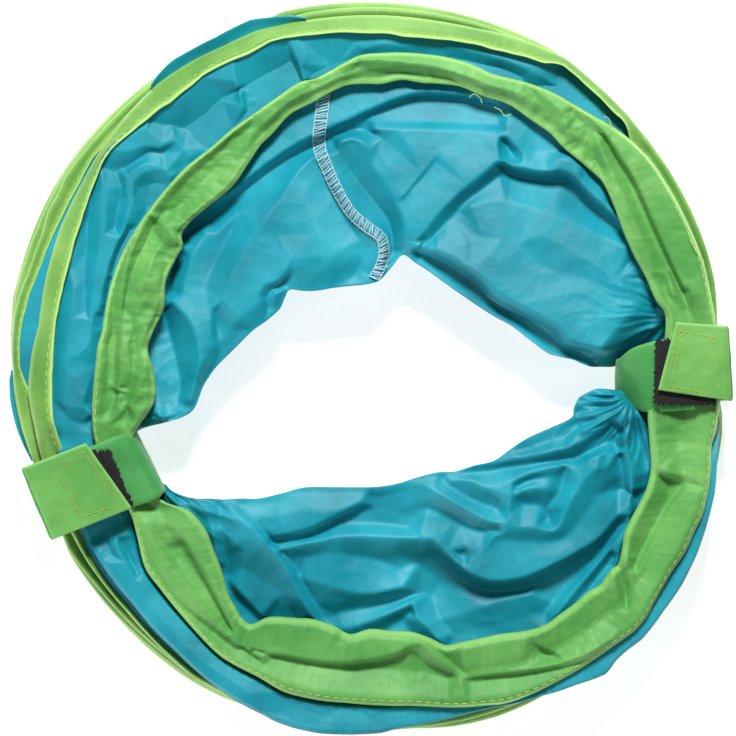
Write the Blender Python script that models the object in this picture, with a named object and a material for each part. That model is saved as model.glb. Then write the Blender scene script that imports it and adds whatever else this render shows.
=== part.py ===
# Cloth play tunnel for a rabbit, pushed flat and held shut by two hook-and-loop straps.
# The tunnel's axis is +Z, its rear mouth lies on z = 0 and its front mouth looks up.
# All sizes are in metres and angles in degrees, counted from +X towards +Y.

import math

import bmesh
import bpy
from mathutils import Matrix, Vector
from mathutils.bvhtree import BVHTree

# Gaps and cloths
CLEAR = 0.0003
CLOTH = 0.0004
TAPE = 0.0005
HEM_CLOTH = 0.0007

# Wire hoops
WIRE_R = 0.0008
CAVITY = 0.0014

# Shape of a channel's section, as shares of its cavity: the height of its outer face
# and how far behind the wire it closes
CHEEK = 0.45
BACK = 0.5

# Share of a cloth thickness that is left free under the rear hem's channel
SEAT_SLACK = 0.4

# Middle hoops: half widths of the wire ring, and how far each has slipped sideways
REAR_HALF = (0.1285, 0.1290)
HOOP_HALVES = ((0.1289, 0.1292), (0.1293, 0.1296), (0.1285, 0.1288), (0.1253, 0.1256))
HOOP_SLIPS = ((0.0010, -0.0034), (0.0004, 0.0032), (-0.0012, -0.0006), (0.0024, -0.0036))

# Front mouth hoop, smaller and slipped to the right
FRONT_HALF = (0.1104, 0.1148)
FRONT_SLIP = (0.0130, -0.0048)

# Channel tapes
FLANGE = 0.0055

# Rear hem
REAR_HEM_IN = 0.0120
REAR_HEM_OUT = 0.0022
REAR_HEM_HEIGHT = 0.0064

# Front hem
FRONT_HEM_IN = 0.0120
FRONT_HEM_OUT = 0.0060
FRONT_HEM_HEIGHT = 0.0066
FRONT_HEM_WIDE = 0.0200
FRONT_HEM_WIDE_AT = 38.0
FRONT_HEM_WIDE_SPREAD = 26.0
FRONT_HEM_PINCHED = 0.0024
SCALLOP = 0.0012
SCALLOPS = 11

# Inner folds of the tube cloth
LAYER_STEP = 0.0015
FOLD_HEIGHT = 0.0050
FOLD_COUNT = 13
FOLD_SWAY = 0.9
FOLD_SWELL = 0.25
FOLD_SWELLS = 3
# Share of a fold's height that the cloth has half way in to its edge
FOLD_MIDDLE = 0.6
EDGE_STAGGER = (0.0055, 0.0025, 0.0045, 0.0018, 0.0)
STRAP_EDGE_R = 0.0960
# Inner edge of the cloth above the hole and below it: angle and distance from the axis
UPPER_EDGE = ((19.0, 0.056), (30.0, 0.047), (74.0, 0.043), (88.0, 0.033), (104.0, 0.032),
              (147.0, 0.041), (180.0, 0.057), (189.0, 0.066))
LOWER_EDGE = ((217.0, 0.084), (222.0, 0.075), (242.0, 0.052), (270.0, 0.045),
              (303.0, 0.047), (323.0, 0.058), (343.0, 0.074))

# Columns of the cloth round the ring
ZONE_COLUMNS = 3
UPPER_COLUMNS = 28
LOWER_COLUMNS = 22
RING_ZONE_COLUMNS = 2
RING_UPPER_COLUMNS = 20
RING_LOWER_COLUMNS = 16

# Straps
STRAP_ANGLES = {"left": 202.5, "right": 1.0}
STRAP_WIDTH = 0.0290
STRAP_THICK = 0.0012
STRAP_IN_R = 0.0910
STRAP_OUT_R = 0.1338
STRAP_MARGIN = 0.0022
FLAP_LENGTH = 0.0275
PATCH_THICK = 0.0009
LOOP_PATCH_LENGTH = 0.0250
HOOK_PATCH_LENGTH = 0.0215
PATCH_MARGIN = 0.0015
TAIL_LENGTH = 0.0330
STITCH_R = 0.0003
STITCH_INSET = 0.0035
# The longest mitre at a bend is the strap's half thickness over this
MITRE_LEAST = 0.5

# Overlocked seam on the front panel
SEAM_WIDTH = 0.0050
SEAM_THICK = 0.0008
SEAM_START = (99.0, 0.0945)
SEAM_END = (86.0, 0.040)
SEAM_STEPS = 20

# Heights that follow from the sizes above
CHANNEL_HALF = CAVITY + TAPE
HOOP_STEP = 2 * CHANNEL_HALF + CLEAR
SLOT_HALF = CLOTH + 1.5 * CLEAR
SHEET_LIFT = (CLOTH + CLEAR) / 2
REAR_WIRE_Z = HEM_CLOTH + CAVITY + SEAT_SLACK * HEM_CLOTH + STRAP_THICK + CLEAR
REAR_TOP = max(REAR_HEM_HEIGHT, REAR_WIRE_Z + CAVITY + HEM_CLOTH)
REAR_SLOT_Z = REAR_WIRE_Z + CAVITY / 2
HOOP_Z = [REAR_TOP + CLEAR + CHANNEL_HALF + n * HOOP_STEP for n in range(len(HOOP_HALVES))]
TOP_SHEET_Z = HOOP_Z[-1] + CHANNEL_HALF + CLEAR + CLOTH
FRONT_BOTTOM = TOP_SHEET_Z + 3 * CLOTH + 2 * CLEAR
FRONT_WIRE_Z = FRONT_BOTTOM + HEM_CLOTH + CAVITY
FRONT_TOP = max(FRONT_BOTTOM + FRONT_HEM_HEIGHT, FRONT_WIRE_Z + CAVITY + HEM_CLOTH)
LAYERS = 2 * (len(HOOP_HALVES) + 1)
MIDDLE_Z = (REAR_TOP + FRONT_BOTTOM) / 2
STRAP_GROOVE = STRAP_THICK + 2 * CLEAR
TAIL_Z = FRONT_TOP + CLEAR + STRAP_THICK / 2
LOOP_Z = TAIL_Z + STRAP_THICK / 2 + CLEAR + PATCH_THICK / 2
HOOK_Z = LOOP_Z + PATCH_THICK + CLEAR
FLAP_Z = HOOK_Z + PATCH_THICK / 2 + CLEAR + STRAP_THICK / 2
STRAP_OUTER_TOP = FLAP_Z - STRAP_THICK / 2 - CLEAR
STRAP_BOTTOM_Z = CLEAR + STRAP_THICK / 2
ZONE_HALF = math.degrees((STRAP_WIDTH / 2 + STRAP_MARGIN) / STRAP_IN_R)

TEAL = (0.03, 0.36, 0.50)
GREEN = (0.22, 0.52, 0.12)
LIGHT_GREEN = (0.36, 0.62, 0.17)
BLACK = (0.012, 0.014, 0.014)
STEEL = (0.55, 0.56, 0.58)
WHITE = (0.78, 0.85, 0.88)
YELLOW_GREEN = (0.55, 0.80, 0.18)


def clear_scene():
    for obj in list(bpy.data.objects):
        bpy.data.objects.remove(obj, do_unlink=True)


def make_material(name, colour, roughness, metallic=0.0):
    material = bpy.data.materials.new(name)
    material.use_nodes = True
    shader = material.node_tree.nodes["Principled BSDF"]
    shader.inputs["Base Color"].default_value = (*colour, 1.0)
    shader.inputs["Roughness"].default_value = roughness
    shader.inputs["Metallic"].default_value = metallic
    return material


def add_object(name, data, collection, material, parent=None):
    obj = bpy.data.objects.new(name, data)
    obj.data.materials.append(material)
    collection.objects.link(obj)
    if parent is not None:
        obj.parent = parent
    return obj


def smooth_step(share):
    share = min(1.0, max(0.0, share))
    return share * share * (3 - 2 * share)


def angle_gap(a, b):
    return abs((a - b + 180.0) % 360.0 - 180.0)


# Angles of the columns, so that each strap stands between two of them
def column_angles(zone, upper, lower):
    right = STRAP_ANGLES["right"]
    left = STRAP_ANGLES["left"]
    stops = (
        (right - ZONE_HALF, right + ZONE_HALF, zone),
        (right + ZONE_HALF, left - ZONE_HALF, upper),
        (left - ZONE_HALF, left + ZONE_HALF, zone),
        (left + ZONE_HALF, right - ZONE_HALF + 360.0, lower),
    )
    angles = []
    for start, end, count in stops:
        angles += [start + (end - start) * n / count for n in range(count)]
    return angles


def near_strap(angle):
    return any(angle_gap(angle, a) < ZONE_HALF + 0.01 for a in STRAP_ANGLES.values())


def ring_point(half, slip, angle, out, z):
    turn = math.radians(angle)
    return Vector((
        slip[0] + (half[0] + out) * math.cos(turn),
        slip[1] + (half[1] + out) * math.sin(turn),
        z,
    ))


# A closed section, given at each angle, lofted all the way round
def loft_ring(name, sections):
    mesh = bpy.data.meshes.new(name)
    work = bmesh.new()
    rows = [[work.verts.new(point) for point in section] for section in sections]
    count = len(rows[0])
    for n, row in enumerate(rows):
        after = rows[(n + 1) % len(rows)]
        for k in range(count):
            following = (k + 1) % count
            a, b, c, d = row[k], row[following], after[following], after[k]
            # the cut across each quad runs from its outer edge inwards, so that layers stay apart
            if a.co.xy.length > b.co.xy.length:
                halves = ((a, b, c), (a, c, d))
            else:
                halves = ((b, c, d), (b, d, a))
            for corners in halves:
                work.faces.new(corners)
    bmesh.ops.recalc_face_normals(work, faces=work.faces)
    work.to_mesh(mesh)
    work.free()
    return mesh


# Section of a channel tape: a tube round the wire with two flanges that point to the axis
def channel_section():
    tip = -CAVITY - FLANGE
    back = -BACK * CAVITY
    outer = CHANNEL_HALF
    above = [(tip, SLOT_HALF + TAPE), (back, outer), (outer, CHEEK * outer)]
    inside = [(tip, SLOT_HALF), (back, CAVITY), (CAVITY, CHEEK * CAVITY)]
    below = [(u, -v) for u, v in reversed(above)]
    inside_below = [(u, -v) for u, v in inside]
    return above + below + inside_below + list(reversed(inside))


def hoop_objects(collection, steel, rings, parents):
    for name, half, slip, z in rings:
        curve = bpy.data.curves.new(name, "CURVE")
        curve.dimensions = "3D"
        curve.bevel_depth = WIRE_R
        curve.bevel_resolution = 1
        spline = curve.splines.new("POLY")
        angles = column_angles(RING_ZONE_COLUMNS, RING_UPPER_COLUMNS, RING_LOWER_COLUMNS)
        spline.points.add(len(angles) - 1)
        for point, angle in zip(spline.points, angles):
            point.co = (*ring_point(half, slip, angle, 0.0, z), 1.0)
        spline.use_cyclic_u = True
        add_object(name, curve, collection, steel, parents[name])


def channel_objects(collection, material, rings, parents):
    section = channel_section()
    angles = column_angles(RING_ZONE_COLUMNS, RING_UPPER_COLUMNS, RING_LOWER_COLUMNS)
    for name, half, slip, z in rings:
        rows = [[ring_point(half, slip, a, u, z + v) for u, v in section] for a in angles]
        add_object(name, loft_ring(name, rows), collection, material, parents[name])


# Rear hem: a flat band that lies on the floor, with grooves for the straps under it
def rear_hem_mesh(name):
    rows = []
    slot = CLOTH / 2 + CLEAR
    for angle in column_angles(RING_ZONE_COLUMNS, RING_UPPER_COLUMNS, RING_LOWER_COLUMNS):
        floor = STRAP_GROOVE if near_strap(angle) else 0.0
        wire = REAR_WIRE_Z
        tip = -REAR_HEM_IN
        back = -BACK * CAVITY
        section = [
            (tip, REAR_SLOT_Z - slot),
            (tip, floor + HEM_CLOTH),
            (tip + 2 * HEM_CLOTH, floor),
            (0.0, floor),
            (REAR_HEM_OUT, floor + 2 * HEM_CLOTH),
            (REAR_HEM_OUT, REAR_TOP - 2 * HEM_CLOTH),
            (0.0, REAR_TOP),
            (tip, REAR_SLOT_Z + slot + 2 * HEM_CLOTH),
            (tip, REAR_SLOT_Z + slot),
            (back, wire + CAVITY),
            (CAVITY, wire + CHEEK * CAVITY),
            (CAVITY, wire - CHEEK * CAVITY),
            (back, wire - CAVITY),
        ]
        rows.append([ring_point(REAR_HALF, (0.0, 0.0), angle, u, v) for u, v in section])
    return loft_ring(name, rows)


# How far the front hem reaches in from its wire
def front_hem_reach(angle):
    wide = FRONT_HEM_WIDE - FRONT_HEM_IN
    bulge = wide * math.exp(-((angle_gap(angle, FRONT_HEM_WIDE_AT) / FRONT_HEM_WIDE_SPREAD) ** 2))
    reach = FRONT_HEM_IN + bulge + SCALLOP * math.sin(math.radians(angle) * SCALLOPS)
    pinch = 0.0
    for strap in STRAP_ANGLES.values():
        pinch = max(pinch, 1.0 - smooth_step((angle_gap(angle, strap) - ZONE_HALF) / ZONE_HALF))
    return reach + (FRONT_HEM_PINCHED - reach) * pinch


# Angle on the front hoop that looks in a given direction from the axis
def front_angle(angle):
    found = angle
    for _ in range(12):
        p = ring_point(FRONT_HALF, FRONT_SLIP, found, 0.0, 0.0)
        miss = (angle - math.degrees(math.atan2(p.y, p.x)) + 180.0) % 360.0 - 180.0
        found += miss
    return found


def front_hem_mesh(name):
    rows = []
    slot = CLOTH / 2 + CLEAR
    for angle in column_angles(RING_ZONE_COLUMNS, RING_UPPER_COLUMNS, RING_LOWER_COLUMNS):
        tip = -front_hem_reach(angle)
        wire = FRONT_WIRE_Z
        out = FRONT_HEM_OUT
        back = BACK * CAVITY
        section = [
            (out, wire - slot),
            (out, wire - slot - HEM_CLOTH),
            (out - 2 * HEM_CLOTH, FRONT_BOTTOM),
            (tip + 2 * HEM_CLOTH, FRONT_BOTTOM),
            (tip, FRONT_BOTTOM + 2 * HEM_CLOTH),
            (tip, FRONT_TOP - 2 * HEM_CLOTH),
            (tip + 2 * HEM_CLOTH, FRONT_TOP),
            (out / 2, FRONT_TOP - HEM_CLOTH / 2),
            (out, wire + slot + HEM_CLOTH),
            (out, wire + slot),
            (back, wire + CAVITY),
            (-CAVITY, wire + CHEEK * CAVITY),
            (-CAVITY, wire - CHEEK * CAVITY),
            (back, wire - CAVITY),
        ]
        turned = front_angle(angle)
        rows.append([ring_point(FRONT_HALF, FRONT_SLIP, turned, u, v) for u, v in section])
    return loft_ring(name, rows)


# Distance from the axis to the cloth's inner edge
def inner_edge(angle):
    if near_strap(angle):
        return STRAP_EDGE_R
    right = STRAP_ANGLES["right"] + ZONE_HALF
    left = STRAP_ANGLES["left"]
    knots = [(right, STRAP_EDGE_R), *UPPER_EDGE, (left - ZONE_HALF, STRAP_EDGE_R)]
    knots += [(left + ZONE_HALF, STRAP_EDGE_R), *LOWER_EDGE]
    knots += [(STRAP_ANGLES["right"] - ZONE_HALF + 360.0, STRAP_EDGE_R)]
    for (a, ra), (b, rb) in zip(knots, knots[1:]):
        if a <= angle <= b:
            return ra + (rb - ra) * (angle - a) / max(b - a, 1e-6)
    return STRAP_EDGE_R


# Main folds of the hanging cloth: the same wave lifts every layer, so the layers stay apart
def fold_lift(angle):
    still = 1.0
    for strap in STRAP_ANGLES.values():
        still = min(still, smooth_step((angle_gap(angle, strap) - ZONE_HALF) / ZONE_HALF))
    turn = math.radians(angle)
    wave = math.sin(FOLD_COUNT * turn + FOLD_SWAY * math.sin(2 * turn))
    swell = 1.0 - FOLD_SWELL + FOLD_SWELL * math.sin(FOLD_SWELLS * turn + FOLD_SWAY)
    return FOLD_HEIGHT * wave * swell * still


# One column of a panel, from its lower hoop in to the fold and out to its upper hoop
def panel_column(number, angle):
    lower = number - 1
    low_layer = 2 * number
    low_z = MIDDLE_Z + (low_layer - (LAYERS - 1) / 2) * LAYER_STEP
    high_z = low_z + LAYER_STEP
    tip = -CAVITY - FLANGE
    seat = -CAVITY - 2 * CLEAR
    if number == 0:
        first = ring_point(REAR_HALF, (0.0, 0.0), angle, seat, REAR_SLOT_Z)
        second = ring_point(REAR_HALF, (0.0, 0.0), angle, -REAR_HEM_IN - 2 * CLEAR, REAR_SLOT_Z)
    else:
        ring = HOOP_HALVES[lower], HOOP_SLIPS[lower]
        z = HOOP_Z[lower] + SHEET_LIFT
        first = ring_point(*ring, angle, seat, z)
        second = ring_point(*ring, angle, tip - 2 * CLEAR, z)
    turn = math.radians(angle)
    aim = Vector((math.cos(turn), math.sin(turn), 0.0))
    lift = fold_lift(angle)
    edge = (inner_edge(angle) + EDGE_STAGGER[number]) * aim
    shoulder = REAR_HALF[0] - CAVITY - FLANGE - 2 * CLEAR - CAVITY
    middle = ((inner_edge(angle) + EDGE_STAGGER[-1] + shoulder) / 2) * aim
    points = [
        first,
        second,
        middle + Vector((0.0, 0.0, low_z + FOLD_MIDDLE * lift)),
        edge + Vector((0.0, 0.0, (low_z + high_z) / 2 + lift)),
        middle + Vector((0.0, 0.0, high_z + FOLD_MIDDLE * lift)),
    ]
    if number < len(HOOP_HALVES):
        ring = HOOP_HALVES[number], HOOP_SLIPS[number]
        z = HOOP_Z[number] - SHEET_LIFT
        points.append(ring_point(*ring, angle, tip - 2 * CLEAR, z))
        points.append(ring_point(*ring, angle, seat, z))
        return points
    ring = HOOP_HALVES[-1], HOOP_SLIPS[-1]
    points.append(ring_point(*ring, angle, 2 * tip, TOP_SHEET_Z))
    turned = front_angle(angle)
    over = ring_point(*ring, angle, tip - CLEAR, 0.0)
    beyond = ring_point(FRONT_HALF, FRONT_SLIP, turned, FRONT_HEM_OUT + 4 * CLEAR, 0.0)
    fold = over if over.length > beyond.length else beyond
    fold.z = TOP_SHEET_Z + CLOTH
    points.append(fold)
    for out in (FRONT_HEM_OUT + CLEAR, CAVITY + 2 * CLEAR):
        points.append(ring_point(FRONT_HALF, FRONT_SLIP, turned, out, FRONT_WIRE_Z))
    return points


# Thickness: each row moves both ways along the sheet's own normal in the column's plane
def thicken(points, aim):
    flat = [Vector((p.dot(aim), p.z)) for p in points]
    sides = []
    for a, b in zip(flat, flat[1:]):
        run = (b - a).normalized()
        sides.append(Vector((-run.y, run.x)))
    normals = [sides[0]]
    for a, b in zip(sides, sides[1:]):
        normals.append((a + b).normalized())
    normals.append(sides[-1])
    rows = []
    for way in (CLOTH / 2, -CLOTH / 2):
        rows.append([p + way * (n.x * aim + Vector((0.0, 0.0, n.y)))
                     for p, n in zip(points, normals)])
    return rows[0] + rows[1][::-1]


def panel_mesh(name, number):
    rows = []
    for angle in column_angles(ZONE_COLUMNS, UPPER_COLUMNS, LOWER_COLUMNS):
        turn = math.radians(angle)
        aim = Vector((math.cos(turn), math.sin(turn), 0.0))
        rows.append(thicken(panel_column(number, angle), aim))
    return loft_ring(name, rows)


# Height of a panel's upper side at a spot; where the spot is past the panel's edge, that
# of the edge next to it
def top_height(tree, spot):
    down = Vector((0.0, 0.0, -1.0))
    above = Vector((spot.x, spot.y, FRONT_TOP))
    hit = tree.ray_cast(above, down)[0]
    if hit is None:
        hit = tree.find_nearest(above)[0]
    return hit.z


# Overlocked seam: a strip that follows the top of the front panel
def seam_mesh(name, panel):
    tree = BVHTree.FromPolygons([v.co[:] for v in panel.vertices],
                                [p.vertices[:] for p in panel.polygons])
    mesh = bpy.data.meshes.new(name)
    work = bmesh.new()
    rings = []
    start, end = [Vector((r * math.cos(math.radians(a)), r * math.sin(math.radians(a)), 0.0))
                  for a, r in (SEAM_START, SEAM_END)]
    across = Vector((0.0, 0.0, 1.0)).cross((end - start).normalized())
    for n in range(SEAM_STEPS + 1):
        spot = start.lerp(end, n / SEAM_STEPS)
        places = [spot + side * across for side in (-SEAM_WIDTH / 2, 0.0, SEAM_WIDTH / 2)]
        left, centre, right = [top_height(tree, p) for p in places]
        rise = max(0.0, centre - (left + right) / 2) + 2 * CLEAR
        corners = [
            Vector((places[0].x, places[0].y, left + rise)),
            Vector((places[-1].x, places[-1].y, right + rise)),
        ]
        up = Vector((0.0, 0.0, SEAM_THICK))
        loop = (corners[0], corners[1], corners[1] + up, corners[0] + up)
        rings.append([work.verts.new(c) for c in loop])
    for a, b in zip(rings, rings[1:]):
        for k in range(4):
            work.faces.new((a[k], a[(k + 1) % 4], b[(k + 1) % 4], b[k]))
    work.faces.new(rings[0])
    work.faces.new(rings[-1])
    bmesh.ops.recalc_face_normals(work, faces=work.faces)
    work.to_mesh(mesh)
    work.free()
    return mesh


# A frame with its X pointing out along the strap, its Y across it and its Z up
def strap_frame(angle):
    return Matrix.Rotation(math.radians(angle), 4, "Z")


# Outline in the strap's own upright plane, given thickness across the strap
def strap_band(name, outline, width, angle, collection, material, parent):
    curve = bpy.data.curves.new(name, "CURVE")
    curve.dimensions = "2D"
    curve.fill_mode = "BOTH"
    curve.extrude = width / 2
    spline = curve.splines.new("POLY")
    spline.points.add(len(outline) - 1)
    for point, (out, z) in zip(spline.points, outline):
        point.co = (out, z, 0.0, 1.0)
    spline.use_cyclic_u = True
    obj = add_object(name, curve, collection, material)
    upright = strap_frame(angle) @ Matrix.Rotation(math.pi / 2, 4, "X")
    if parent is not None:
        obj.parent = parent
        bpy.context.view_layer.update()
        obj.matrix_parent_inverse = parent.matrix_world.inverted()
    obj.matrix_world = upright
    return obj


def webbing_outline():
    half = STRAP_THICK / 2
    inner = STRAP_IN_R + half
    outer = STRAP_OUT_R - half
    middle = [
        (STRAP_IN_R + TAIL_LENGTH, TAIL_Z),
        (inner + STRAP_THICK, TAIL_Z),
        (inner, TAIL_Z - STRAP_THICK),
        (inner, STRAP_BOTTOM_Z + STRAP_THICK),
        (inner + STRAP_THICK, STRAP_BOTTOM_Z),
        (outer - STRAP_THICK, STRAP_BOTTOM_Z),
        (outer, STRAP_BOTTOM_Z + STRAP_THICK),
        (outer, STRAP_OUTER_TOP),
    ]
    return thick_path(middle, half)


# Both sides of a path in a plane, with mitred bends
def thick_path(path, half):
    points = [Vector(p) for p in path]
    sides = []
    for a, b in zip(points, points[1:]):
        run = (b - a).normalized()
        sides.append(Vector((-run.y, run.x)))
    left, right = [], []
    for n, point in enumerate(points):
        before = sides[max(n - 1, 0)]
        after = sides[min(n, len(sides) - 1)]
        mitre = (before + after).normalized()
        mitre /= max(mitre.dot(after), MITRE_LEAST)
        left.append((point + half * mitre)[:])
        right.append((point - half * mitre)[:])
    return left + right[::-1]


def plate_outline(start, end, middle, thick):
    return [(start, middle - thick / 2), (end, middle - thick / 2),
            (end, middle + thick / 2), (start, middle + thick / 2)]


# Box stitch: a closed run of thread along the flap's edges
def stitch_object(name, angle, collection, material, parent):
    curve = bpy.data.curves.new(name, "CURVE")
    curve.dimensions = "3D"
    curve.bevel_depth = STITCH_R
    curve.bevel_resolution = 0
    spline = curve.splines.new("POLY")
    near = STRAP_OUT_R - FLAP_LENGTH + STITCH_INSET
    far = STRAP_OUT_R - STITCH_INSET
    side = STRAP_WIDTH / 2 - STITCH_INSET
    z = FLAP_Z + STRAP_THICK / 2 + CLEAR + STITCH_R
    corners = ((near, -side), (far, -side), (far, side), (near, side))
    spline.points.add(len(corners) - 1)
    for point, (out, across) in zip(spline.points, corners):
        point.co = (out, across, z, 1.0)
    spline.use_cyclic_u = True
    obj = add_object(name, curve, collection, material)
    obj.parent = parent
    bpy.context.view_layer.update()
    obj.matrix_parent_inverse = parent.matrix_world.inverted()
    obj.matrix_world = strap_frame(angle)


def strap_objects(collection, side, materials):
    angle = STRAP_ANGLES[side]
    webbing, black, thread = materials
    strap_band(f"{side}_strap", webbing_outline(), STRAP_WIDTH, angle, collection, webbing, None)
    loop_start = STRAP_IN_R + TAIL_LENGTH - LOOP_PATCH_LENGTH
    loop = plate_outline(loop_start, STRAP_IN_R + TAIL_LENGTH - PATCH_MARGIN, LOOP_Z, PATCH_THICK)
    patch_width = STRAP_WIDTH - 2 * PATCH_MARGIN
    strap_band(f"{side}_loop_patch", loop, patch_width, angle, collection, black, None)

    turn = math.radians(angle)
    hinge = bpy.data.objects.new(f"{side}_flap_hinge", None)
    collection.objects.link(hinge)
    hinge.location = (STRAP_OUT_R * math.cos(turn), STRAP_OUT_R * math.sin(turn), STRAP_OUTER_TOP)
    hinge.rotation_euler = (0.0, 0.0, turn)
    bpy.context.view_layer.update()
    flap = plate_outline(STRAP_OUT_R - FLAP_LENGTH, STRAP_OUT_R, FLAP_Z, STRAP_THICK)
    strap_band(f"{side}_flap", flap, STRAP_WIDTH, angle, collection, webbing, hinge)
    hook_start = STRAP_OUT_R - FLAP_LENGTH + PATCH_MARGIN
    hook = plate_outline(hook_start, hook_start + HOOK_PATCH_LENGTH, HOOK_Z, PATCH_THICK)
    strap_band(f"{side}_hook_patch", hook, patch_width, angle, collection, black, hinge)
    stitch_object(f"{side}_flap_stitch", angle, collection, thread, hinge)


def main():
    clear_scene()
    collection = bpy.data.collections.new("Rabbit tunnel")
    bpy.context.scene.collection.children.link(collection)
    teal = make_material("teal taffeta", TEAL, 0.55)
    green = make_material("green hem cloth", GREEN, 0.6)
    tape = make_material("green channel tape", LIGHT_GREEN, 0.6)
    steel = make_material("spring steel", STEEL, 0.3, 1.0)
    webbing = make_material("green strap webbing", GREEN, 0.7)
    black = make_material("black hook and loop", BLACK, 0.95)
    white = make_material("white overlock thread", WHITE, 0.8)
    thread = make_material("yellow-green thread", YELLOW_GREEN, 0.7)

    middles = list(enumerate(zip(HOOP_HALVES, HOOP_SLIPS, HOOP_Z), 1))
    hoops = [("rear_hoop", REAR_HALF, (0.0, 0.0), REAR_WIRE_Z)]
    hoops += [(f"hoop_{n}", half, slip, z) for n, (half, slip, z) in middles]
    hoops += [("front_hoop", FRONT_HALF, FRONT_SLIP, FRONT_WIRE_Z)]
    tapes = [(f"channel_tape_{n}", half, slip, z) for n, (half, slip, z) in middles]

    # Each moving ring of the tunnel hangs from an empty of its own on the axis
    carriers = {"rear_hoop": None}
    for name, half, slip, z in hoops[1:]:
        carrier = bpy.data.objects.new(f"{name}_slide", None)
        collection.objects.link(carrier)
        carriers[name] = carrier
    for n, ring in middles:
        carriers[f"channel_tape_{n}"] = carriers[f"hoop_{n}"]

    hoop_objects(collection, steel, hoops, carriers)
    channel_objects(collection, tape, tapes, carriers)
    add_object("rear_hem", rear_hem_mesh("rear_hem"), collection, green)
    add_object("front_hem", front_hem_mesh("front_hem"), collection, green, carriers["front_hoop"])
    for number in range(len(HOOP_HALVES) + 1):
        name = f"tunnel_panel_{number + 1}"
        panel = panel_mesh(name, number)
        add_object(name, panel, collection, teal)
    add_object("overlock_seam", seam_mesh("overlock_seam", panel), collection, white)
    for side in STRAP_ANGLES:
        strap_objects(collection, side, (webbing, black, thread))


main()
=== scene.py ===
# Dresses the frame of the cloth play tunnel: gathered hems, channel tapes, folded cloth and straps.
# Metres, +Z up. Pixel places are read in the photograph's 736 x 736 frame.

import math

import bpy
import numpy as np
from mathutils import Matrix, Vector
from mathutils.bvhtree import BVHTree
from mathutils.geometry import delaunay_2d_cdt


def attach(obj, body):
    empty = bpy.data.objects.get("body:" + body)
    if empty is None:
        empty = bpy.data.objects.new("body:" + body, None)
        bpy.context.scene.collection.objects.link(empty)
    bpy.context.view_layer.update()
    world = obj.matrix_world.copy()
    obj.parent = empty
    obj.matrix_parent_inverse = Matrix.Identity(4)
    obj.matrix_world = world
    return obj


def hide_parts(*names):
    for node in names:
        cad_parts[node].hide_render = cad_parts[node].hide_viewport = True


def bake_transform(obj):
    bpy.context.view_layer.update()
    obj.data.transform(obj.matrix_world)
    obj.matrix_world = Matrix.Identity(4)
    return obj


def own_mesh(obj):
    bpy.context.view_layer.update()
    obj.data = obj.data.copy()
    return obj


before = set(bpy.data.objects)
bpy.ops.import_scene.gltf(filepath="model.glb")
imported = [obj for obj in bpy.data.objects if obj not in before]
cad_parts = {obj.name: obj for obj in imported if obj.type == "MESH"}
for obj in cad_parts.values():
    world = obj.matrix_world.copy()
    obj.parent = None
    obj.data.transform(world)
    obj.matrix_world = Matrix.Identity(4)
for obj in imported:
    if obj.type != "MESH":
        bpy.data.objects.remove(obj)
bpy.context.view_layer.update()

# Photograph and camera: a pixel is PIXEL metres wide at the height LEVEL
IMAGE = 736
PIXEL = 0.000372
CENTRE = (370.0, 367.0)
CAMERA_Z = 2.2
LEVEL = 0.018
SENSOR = 36.0

# Sizes shared with the frame
WIRE_R = 0.0008
HOOP_Z = (0.0086, 0.0127, 0.0168, 0.0209)
REAR_HALF = (0.1285, 0.1290)
REAR_Z = 0.00388
FRONT_Z = 0.0276
STRAP_ANGLES = {"left": 202.5, "right": 1.0}
FRONT_PANEL = 4

# Parts that each ring of folded cloth is cut into
SECTORS = 14


def place(px, py, z):
    """World point seen at a pixel of the photograph, at height z."""
    scale = PIXEL * (CAMERA_Z - z) / (CAMERA_Z - LEVEL)
    middle = IMAGE / 2
    x = (middle - CENTRE[0]) * PIXEL + (px - middle) * scale
    y = (CENTRE[1] - middle) * PIXEL - (py - middle) * scale
    return np.stack([x + 0 * z, y + 0 * z, z + 0 * x], axis=-1)


def polar_pixel(angle, radius):
    """Pixel at an angle in degrees and a radius in pixels round the tunnel's middle."""
    turn = np.radians(angle)
    return CENTRE[0] + radius * np.cos(turn), CENTRE[1] - radius * np.sin(turn)


def polar_place(angle, radius, z):
    return place(*polar_pixel(angle, radius), z + 0 * angle)


def ring_angles(columns):
    return np.arange(columns) * 360.0 / columns


# Noise and curves


def smooth(x):
    x = np.clip(x, 0.0, 1.0)
    return x * x * (3 - 2 * x)


def noise(x, y, seed, wrap=0):
    """Gradient noise; wrap is the period in x, in whole cells, or 0."""
    rng = np.random.default_rng(seed)
    turn = rng.random((256, 256)) * 2 * math.pi
    xi, yi = np.floor(x).astype(int), np.floor(y).astype(int)
    fx, fy = x - xi, y - yi
    total = 0.0
    for dx in (0, 1):
        for dy in (0, 1):
            cx = (xi + dx) % wrap if wrap else (xi + dx) & 255
            g = turn[cx & 255, (yi + dy) & 255]
            wx = fx if dx else 1 - fx
            wy = fy if dy else 1 - fy
            fade = wx ** 3 * (wx * (6 * wx - 15) + 10) * wy ** 3 * (wy * (6 * wy - 15) + 10)
            total = total + fade * (np.cos(g) * (fx - dx) + np.sin(g) * (fy - dy))
    return total * 1.5


def ring_noise(angle, cells, row, seed):
    """Noise round the ring, with a whole number of cells in a turn."""
    return noise(angle / 360 * cells, np.full(len(angle), row), seed, cells)


def ridged(x, y, seed, octaves=3, wrap=0):
    """Noise with sharp ridges, like small folds."""
    total, gain = 0.0, 1.0
    for n in range(octaves):
        total = total + gain * (0.5 - np.abs(noise(x, y, seed + n, wrap)) * 2)
        x, y, gain, wrap = x * 2, y * 2, gain * 0.5, wrap * 2
    return total


def unit(vectors):
    return vectors / np.linalg.norm(vectors, axis=-1, keepdims=True)


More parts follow.
